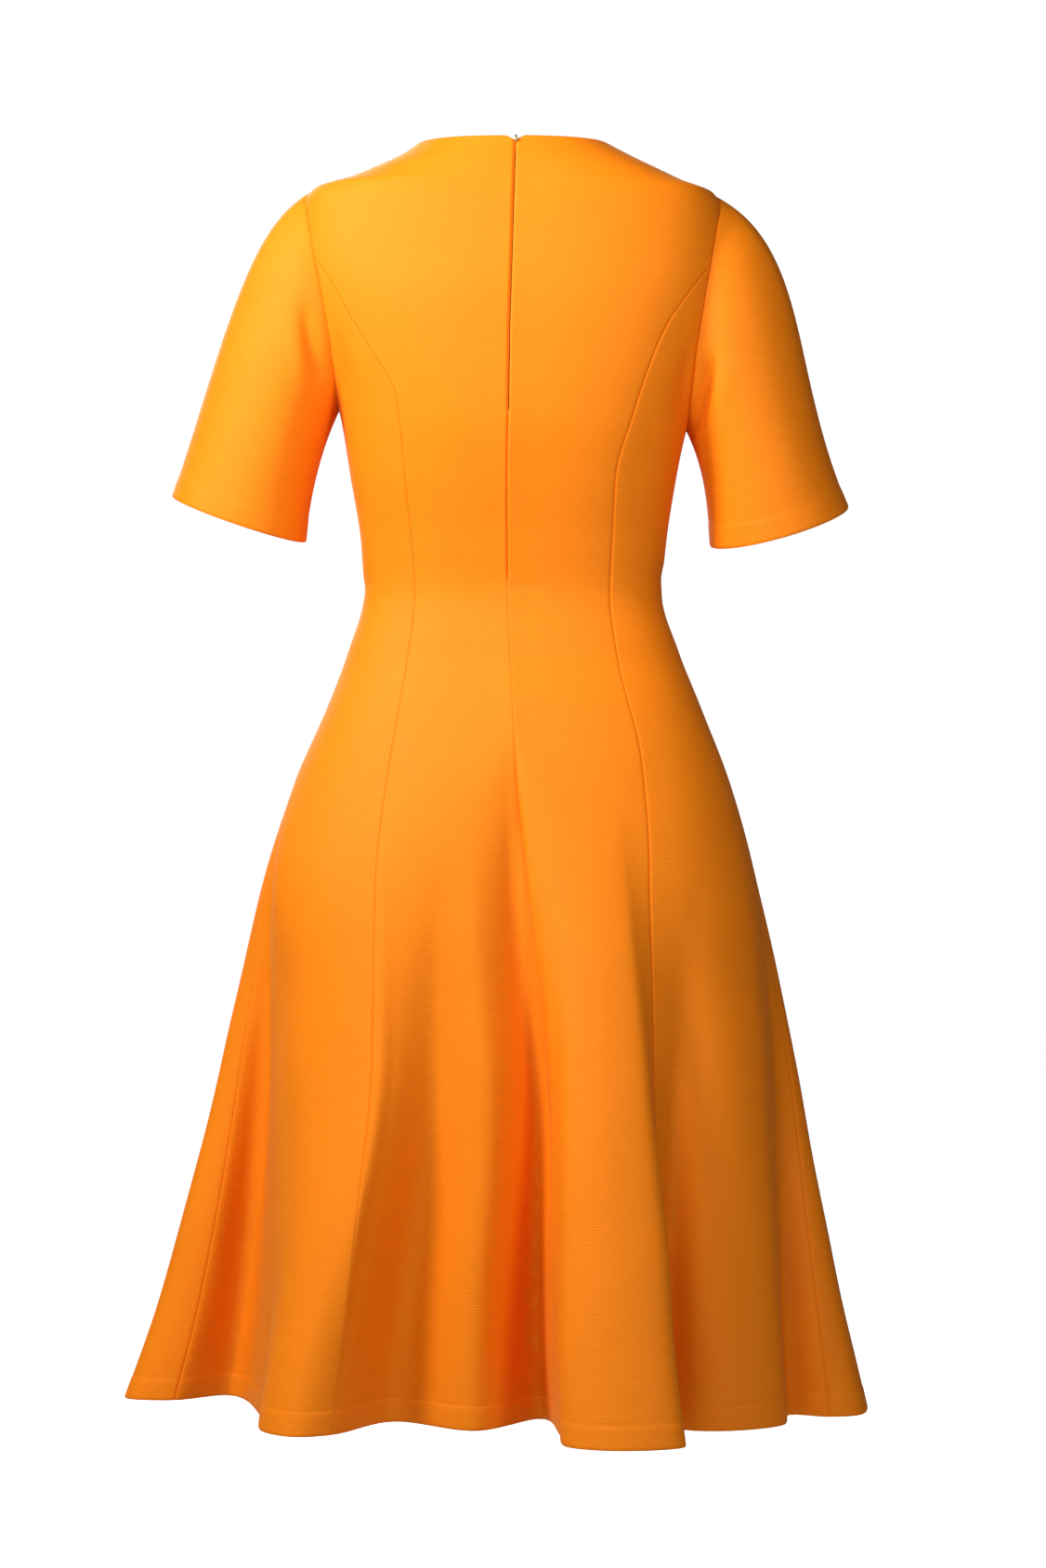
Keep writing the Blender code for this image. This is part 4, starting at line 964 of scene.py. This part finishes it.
def coil_tree():
    """Geometry Nodes: half turns of wire along a line, on its left and right by turns, as a closed zip locks."""
    tree = bpy.data.node_groups.new("zip_coil", "GeometryNodeTree")
    tree.interface.new_socket("Line", in_out="INPUT", socket_type="NodeSocketGeometry")
    for name in ("Pitch", "Wire radius", "Half width", "Half depth", "Side shift"):
        tree.interface.new_socket(name, in_out="INPUT", socket_type="NodeSocketFloat")
    tree.interface.new_socket("Material", in_out="INPUT", socket_type="NodeSocketMaterial")
    tree.interface.new_socket("Coil", in_out="OUTPUT", socket_type="NodeSocketGeometry")
    sizes = add_node(tree, "NodeGroupInput").outputs
    # A place every half pitch along the line, turned to face out of the cloth.
    half_pitch = add_node(tree, "ShaderNodeMath", {0: sizes["Pitch"], 1: 0.5}, operation="MULTIPLY")
    line = add_node(tree, "GeometryNodeMeshToCurve", {"Mesh": sizes["Line"]})
    spacing = {"Curve": line.outputs["Curve"], "Length": half_pitch.outputs["Value"]}
    even = add_node(tree, "GeometryNodeResampleCurve", spacing, mode="LENGTH")
    out = add_node(tree, "GeometryNodeInputNamedAttribute", {"Name": "out"}, data_type="FLOAT_VECTOR")
    tangent = add_node(tree, "GeometryNodeInputTangent")
    align = "FunctionNodeAlignRotationToVector"
    along = add_node(tree, align, {"Vector": tangent.outputs["Tangent"]}, axis="Z")
    facing = {"Rotation": along.outputs["Rotation"], "Vector": out.outputs["Attribute"]}
    turned = add_node(tree, align, facing, axis="Y", pivot_axis="Z")
    # One turn of wire: an oval ring with a square section.
    circle = add_node(tree, "GeometryNodeCurvePrimitiveCircle", {"Resolution": 6, "Radius": 1.0})
    radii = {"X": sizes["Half width"], "Y": sizes["Half depth"], "Z": 1.0}
    oval_size = add_node(tree, "ShaderNodeCombineXYZ", radii)
    squeezed = {"Geometry": circle.outputs["Curve"], "Scale": oval_size.outputs["Vector"]}
    oval = add_node(tree, "GeometryNodeTransform", squeezed)
    wire = add_node(tree, "GeometryNodeCurvePrimitiveCircle", {"Resolution": 4, "Radius": sizes["Wire radius"]})
    swept = {"Curve": oval.outputs["Geometry"], "Profile Curve": wire.outputs["Curve"]}
    turn = add_node(tree, "GeometryNodeCurveToMesh", swept)
    set_out = {
        "Points": even.outputs["Curve"],
        "Instance": turn.outputs["Mesh"],
        "Rotation": turned.outputs["Rotation"],
    }
    turns = add_node(tree, "GeometryNodeInstanceOnPoints", set_out)
    # Every other turn belongs to the other side.
    index = add_node(tree, "GeometryNodeInputIndex")
    parity = add_node(tree, "ShaderNodeMath", {0: index.outputs["Index"], 1: 2.0}, operation="MODULO")
    plus_or_minus = {0: parity.outputs["Value"], 1: 2.0, 2: -1.0}
    sign = add_node(tree, "ShaderNodeMath", plus_or_minus, operation="MULTIPLY_ADD")
    signed = {0: sign.outputs["Value"], 1: sizes["Side shift"]}
    shift = add_node(tree, "ShaderNodeMath", signed, operation="MULTIPLY")
    aside = add_node(tree, "ShaderNodeCombineXYZ", {"X": shift.outputs["Value"]})
    moved = {"Instances": turns.outputs["Instances"], "Translation": aside.outputs["Vector"]}
    locked = add_node(tree, "GeometryNodeTranslateInstances", moved)
    real = add_node(tree, "GeometryNodeRealizeInstances", {"Geometry": locked.outputs["Instances"]})
    finish = {"Geometry": real.outputs["Geometry"], "Material": sizes["Material"]}
    done = add_node(tree, "GeometryNodeSetMaterial", finish)
    add_node(tree, "NodeGroupOutput", {"Coil": done.outputs["Geometry"]})
    return tree


def grow(name, line, tree, **inputs):
    """Runs a Geometry Nodes tree on a mesh and keeps the result as a plain piece."""
    start = add_object(name, line)
    modifier = start.modifiers.new(name, "NODES")
    modifier.node_group = tree
    sockets = {item.name: item.identifier for item in tree.interface.items_tree if item.in_out == "INPUT"}
    for label, value in inputs.items():
        modifier[sockets[label.replace("_", " ")]] = value
    mesh = bpy.data.meshes.new_from_object(start.evaluated_get(bpy.context.evaluated_depsgraph_get()))
    mesh.name = name
    start.modifiers.clear()
    start.data = mesh
    mesh.shade_smooth()
    return start


def make_coil():
    heights = np.linspace(COIL_TOP, COIL_BOTTOM, COIL_ROWS)
    away = np.full((COIL_ROWS, 1), COIL_AWAY)
    points, normals = behind_the_seam(0, heights, away, TAPE_THICKNESS + COIL_HALF_DEPTH + COIL_WIRE)
    lift = COIL_LIFT * np.exp(-(((COIL_TOP - heights) / COIL_LIFT_SPREAD) ** 2))
    points = (points - normals * lift[:, None, None])[:, 0]
    line = bpy.data.meshes.new("zip_coil_line")
    line.from_pydata(points.tolist(), [(i, i + 1) for i in range(COIL_ROWS - 1)], [])
    facing = line.attributes.new("out", "FLOAT_VECTOR", "POINT")
    facing.data.foreach_set("vector", normals.astype(np.float32).ravel())
    piece = grow(
        "zip_coil",
        line,
        coil_tree(),
        Pitch=COIL_PITCH,
        Wire_radius=COIL_WIRE,
        Half_width=COIL_HALF_WIDTH,
        Half_depth=COIL_HALF_DEPTH,
        Side_shift=COIL_SHIFT,
        Material=nylon_coil(),
    )
    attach(piece, "dress")


make_coil()


# ---- The zip's slider ----
# The slider waits at the neckline. It is cast in zinc and plated pale gold: two shield-shaped plates, held
# apart at their sides and by the divider between the coils, and a neck on the outer plate with the pull's eye.
SLIDER_HALF_WIDTH, SLIDER_LENGTH, SLIDER_TOP = 0.0035, 0.0095, -0.0045
SLIDER_FACE, SLIDER_DEPTH, SLIDER_PLATE = -0.0035, 0.0032, 0.0008
# One side of the shield: shares of the half width and, downwards, of the length.
SHIELD = ((0.30, 0.0), (0.75, 0.03), (0.97, 0.14), (1.0, 0.30), (0.92, 0.55), (0.80, 0.80), (0.74, 1.0))
OVERLAP = 0.0002  # how far the parts of the casting run into each other
FLANGE_PLACE, FLANGE_HEIGHT, FLANGE_THICKNESS = 0.72 * SLIDER_HALF_WIDTH, 0.0052, 0.0006
DIVIDER_FROM, DIVIDER_TO, DIVIDER_THICKNESS = 0.0035, 0.0004, 0.0014  # below the slider's top
PIVOT = (0.0, 0.0012, -0.0052)
EYE_HALF, EYE_FRAME, NECK_THICKNESS, NECK_CROWN = 0.0010, 0.0007, 0.0019, 0.0026
CAST_BEVEL, BEVEL_STEPS = 0.00015, 2
CORNER_STEPS, ROUND_STEPS = 7, 17
METAL_SHARP = np.radians(40)  # edges that turn by more than this look sharp
TUMBLING_MARK = 0.0003


def plated_zinc():
    """Die-cast zinc with a pale gold plating: polished, with fine tumbling marks that vary its roughness."""
    material, tree = start_material("pale_gold_plated_zinc")
    place = add_node(tree, "ShaderNodeTexCoord").outputs["Object"]
    tumbled = {"Vector": place, "Scale": 1 / TUMBLING_MARK, "Detail": 3.0}
    marks = add_node(tree, "ShaderNodeTexNoise", tumbled).outputs["Fac"]
    rough = add_node(tree, "ShaderNodeMapRange", {"Value": marks, "To Min": 0.34, "To Max": 0.50})
    platings = {"Factor": marks, "A": from_hex("c8a860"), "B": from_hex("efdfae")}
    colour = add_node(tree, "ShaderNodeMix", platings, data_type="RGBA")
    bump = add_node(tree, "ShaderNodeBump", {"Height": marks, "Strength": 0.15, "Distance": 0.00005})
    shader = add_node(
        tree,
        "ShaderNodeBsdfPrincipled",
        {
            "Base Color": colour.outputs["Result"],
            "Metallic": 1.0,
            "Roughness": rough.outputs["Result"],
            "Normal": bump.outputs["Normal"],
        },
    )
    add_node(tree, "ShaderNodeOutputMaterial", {"Surface": shader.outputs["BSDF"]})
    return material


METAL = plated_zinc()


def cut_plate(outlines, thickness, place, bevel=CAST_BEVEL):
    """A flat plate cut to closed outlines, with rounded edges, as a mesh at its place."""
    curve = bpy.data.curves.new("plate", "CURVE")
    curve.dimensions = "2D"
    curve.fill_mode = "BOTH"
    curve.extrude = thickness / 2 - bevel
    curve.bevel_depth = bevel
    curve.bevel_resolution = BEVEL_STEPS
    curve.offset = -bevel
    for outline in outlines:
        spline = curve.splines.new("POLY")
        spline.points.add(len(outline) - 1)
        for point, (x, y) in zip(spline.points, outline):
            point.co = (x, y, 0, 1)
        spline.use_cyclic_u = True
    holder = bpy.data.objects.new("plate", curve)
    mesh = bpy.data.meshes.new_from_object(holder)
    bpy.data.objects.remove(holder)
    mesh.transform(place)
    return mesh


def join_plates(name, meshes, body):
    """One metal piece of several plates."""
    whole = bmesh.new()
    for mesh in meshes:
        whole.from_mesh(mesh)
    bmesh.ops.remove_doubles(whole, verts=whole.verts, dist=1e-6)
    bmesh.ops.recalc_face_normals(whole, faces=whole.faces)
    data = bpy.data.meshes.new(name)
    whole.to_mesh(data)
    whole.free()
    data.materials.clear()
    data.materials.append(METAL)
    data.shade_smooth()
    data.set_sharp_from_angle(angle=METAL_SHARP)
    piece = add_object(name, data)
    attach(piece, body)
    return piece


def arc(across, up, radius, turns):
    return [(across + radius * np.cos(turn), up + radius * np.sin(turn)) for turn in turns]


def rectangle(left, right, low, high):
    return [(left, low), (right, low), (right, high), (left, high)]


# The slider's own frame: at the top of the seam, with its Y out of the cloth.
seam_top = seam_angle(0, np.array(0.0))
lean = ring_normal(np.array(0.0), seam_top)
HEAD_TURN = np.arctan2(lean[2], lean[1])
HEAD = Matrix.Translation(Vector(ring(np.array(0.0), seam_top))) @ Matrix.Rotation(HEAD_TURN, 4, "X")
FLAT_ON_CLOTH = Matrix.Rotation(np.pi / 2, 4, "X")  # a plate's own Y runs up the cloth, its thickness out of it
EDGE_ON = Matrix(((0, 0, 1, 0), (1, 0, 0, 0), (0, 1, 0, 0), (0, 0, 0, 1)))  # a plate that stands out of the cloth


def make_slider():
    """Two shield-shaped plates held apart at their sides, and a neck with the pull's eye."""
    right = [(SLIDER_HALF_WIDTH * wide, SLIDER_TOP - SLIDER_LENGTH * deep) for wide, deep in SHIELD]
    shield = right + [(-across, up) for across, up in reversed(right)]
    plates = []
    for face in (SLIDER_FACE - SLIDER_PLATE / 2, SLIDER_FACE - SLIDER_DEPTH + SLIDER_PLATE / 2):
        plates.append(cut_plate([shield], SLIDER_PLATE, HEAD @ Matrix.Translation((0, face, 0)) @ FLAT_ON_CLOTH))
    between = (SLIDER_FACE - SLIDER_DEPTH + OVERLAP, SLIDER_FACE - OVERLAP)
    low = SLIDER_TOP - SLIDER_LENGTH
    flange = rectangle(*between, low + OVERLAP, low + FLANGE_HEIGHT)
    for side in (-1, 1):
        at = Matrix.Translation((side * FLANGE_PLACE, 0, 0))
        plates.append(cut_plate([flange], FLANGE_THICKNESS, HEAD @ at @ EDGE_ON))
    divider = rectangle(*between, SLIDER_TOP - DIVIDER_FROM, SLIDER_TOP - DIVIDER_TO)
    plates.append(cut_plate([divider], DIVIDER_THICKNESS, HEAD @ EDGE_ON))
    frame = EYE_HALF + EYE_FRAME
    out, up = PIVOT[1:]
    foot = SLIDER_FACE - 2 * OVERLAP
    neck = [(foot, up - frame), (out, up - frame)]
    neck += arc(out, up, frame, np.linspace(-np.pi / 2, 0, CORNER_STEPS)[1:])
    neck += arc(out, up + NECK_CROWN, frame, np.linspace(0, np.pi / 2, CORNER_STEPS))
    neck += [(foot, up + NECK_CROWN + frame)]
    eye = arc(out, up, EYE_HALF, np.linspace(2 * np.pi, 0, ROUND_STEPS)[:-1])
    plates.append(cut_plate([neck, eye], NECK_THICKNESS, HEAD @ EDGE_ON))
    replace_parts(join_plates("slider_body", plates, "dress"), "zip_slider")


make_slider()


# ---- The zip's pull ----
# A small flat plate, cast and plated like the slider. Its bar turns in the slider's eye, its slot clears the
# neck, and its tip is round. It leans in over the neckline.
PULL_LENGTH, PULL_THICKNESS, PULL_LEAN = 0.0155, 0.0009, np.radians(15.0)
PULL_BAR, PULL_SLOT, PULL_SLOT_HALF = 0.0011, 0.0032, 0.00115
PULL_TIP_HALF, PULL_FOOT_HALF, PULL_CORNER, PULL_BEVEL = 0.0023, 0.00195, 0.0003, 0.0002


def make_pull():
    foot, corner = -PULL_BAR / 2, PULL_FOOT_HALF - PULL_CORNER
    outline = [(-PULL_FOOT_HALF, foot + PULL_CORNER), (-corner, foot), (corner, foot)]
    outline += [(PULL_FOOT_HALF, foot + PULL_CORNER)]
    tip = PULL_LENGTH - PULL_BAR / 2 - PULL_TIP_HALF
    outline += arc(0, tip, PULL_TIP_HALF, np.linspace(0, np.pi, ROUND_STEPS))
    slot = rectangle(-PULL_SLOT_HALF, PULL_SLOT_HALF, PULL_BAR / 2, PULL_BAR / 2 + PULL_SLOT)
    turned = Matrix.Rotation(np.pi - PULL_LEAN - HEAD_TURN, 4, "X")
    place = HEAD @ Matrix.Translation(PIVOT) @ turned
    plate = cut_plate([outline, slot], PULL_THICKNESS, place, bevel=PULL_BEVEL)
    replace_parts(join_plates("pull_plate", [plate], "pull_tab"), "pull_tab")


make_pull()


# ---- Floor, light and camera ----
# A pale sweep of studio paper: a floor below the hem that curves up into the backdrop, lit on its own. Soft
# lamps light the back of the dress from both sides, and one lifts its front.
FLOOR_HEIGHT = -1.42
SWEEP_RADIUS, SWEEP_BACK, SWEEP_FRONT, SWEEP_TOP, SWEEP_HALF_WIDTH = 1.5, -9.0, 10.0, 5.0, 12.0
SWEEP_STEPS = 13
PAPER_LIGHT, ROOM_LIGHT = 0.02, 0.035  # what each throws on the dress, where 1 is white to the eye


def studio_paper():
    """Matt white background paper, even and without gloss: near white to the eye, as it is lit on its own in a
    studio, and throwing little light back."""
    material, tree = start_material("white_background_paper")
    path = add_node(tree, "ShaderNodeLightPath")
    seen = {"Value": path.outputs["Is Camera Ray"], "To Min": PAPER_LIGHT, "To Max": 1.0}
    glow = add_node(tree, "ShaderNodeMapRange", seen)
    shader = add_node(
        tree,
        "ShaderNodeBsdfPrincipled",
        {
            "Base Color": from_hex("b4b4b4"),
            "Roughness": 0.95,
            "Emission Color": from_hex("ffffff"),
            "Emission Strength": glow.outputs["Result"],
        },
    )
    add_node(tree, "ShaderNodeOutputMaterial", {"Surface": shader.outputs["BSDF"]})
    return material


def make_sweep():
    turns = np.linspace(-np.pi / 2, -np.pi, SWEEP_STEPS)
    curve = arc(SWEEP_BACK, FLOOR_HEIGHT + SWEEP_RADIUS, SWEEP_RADIUS, turns)
    profile = [(SWEEP_FRONT, FLOOR_HEIGHT)] + curve + [(SWEEP_BACK - SWEEP_RADIUS, SWEEP_TOP)]
    mesh = bmesh.new()
    lines = [[mesh.verts.new((x, y, z)) for y, z in profile] for x in (-SWEEP_HALF_WIDTH, SWEEP_HALF_WIDTH)]
    for i in range(len(profile) - 1):
        mesh.faces.new((lines[0][i], lines[1][i], lines[1][i + 1], lines[0][i + 1]))
    bmesh.ops.recalc_face_normals(mesh, faces=mesh.faces)
    data = bpy.data.meshes.new("studio_sweep")
    mesh.to_mesh(data)
    mesh.free()
    data.shade_smooth()
    data.materials.append(studio_paper())
    add_object("studio_sweep", data)


def add_lamp(name, place, aim, size, power):
    light = bpy.data.lights.new(name, "AREA")
    light.shape = "DISK"
    light.size = size
    light.energy = power
    lamp = add_object(name, light)
    lamp.location = place
    lamp.visible_camera = False
    lamp.rotation_euler = (Vector(aim) - Vector(place)).to_track_quat("-Z", "Y").to_euler()


make_sweep()
add_lamp("key_from_the_left", place=(1.2, 0.9, 0.6), aim=(0.0, 0.0, -0.45), size=0.45, power=31.0)
add_lamp("key_over_the_back", place=(0.3, 0.9, 0.2), aim=(0.0, 0.0, -0.45), size=0.45, power=6.6)
add_lamp("fill_from_the_right", place=(-1.0, 1.8, 0.1), aim=(0.0, 0.0, -0.45), size=0.45, power=12.5)
add_lamp("lift_on_the_front", place=(0.8, -2.4, 0.8), aim=(0.0, 0.0, -0.5), size=2.0, power=64.0)

world = bpy.data.worlds.new("studio_air")
world.use_nodes = True
air = world.node_tree
# Past the paper's edges the room is white to the eye too, and throws little light on the dress.
path = add_node(air, "ShaderNodeLightPath")
seen = {"Value": path.outputs["Is Camera Ray"], "To Min": ROOM_LIGHT, "To Max": 1.0}
strength = add_node(air, "ShaderNodeMapRange", seen)
air.nodes["Background"].inputs["Color"].default_value = from_hex("ffffff")
air.links.new(strength.outputs["Result"], air.nodes["Background"].inputs["Strength"])
bpy.context.scene.world = world
bpy.context.scene.view_settings.view_transform = "Standard"
bpy.context.scene.view_settings.look = "None"

CAMERA_PLACE = (-0.0088, 3.3, -0.548)
PHOTOGRAPH_HEIGHT, PIXELS_ACROSS_ONE_RADIAN = 1688, 4125.0
FILM_HEIGHT = 36.0
camera_data = bpy.data.cameras.new("camera")
camera_data.sensor_fit = "VERTICAL"
camera_data.sensor_height = FILM_HEIGHT
camera_data.lens = FILM_HEIGHT * PIXELS_ACROSS_ONE_RADIAN / PHOTOGRAPH_HEIGHT
camera = add_object("camera", camera_data)
camera.location = CAMERA_PLACE
camera.rotation_euler = (np.pi / 2, 0.0, np.pi)
bpy.context.scene.camera = camera
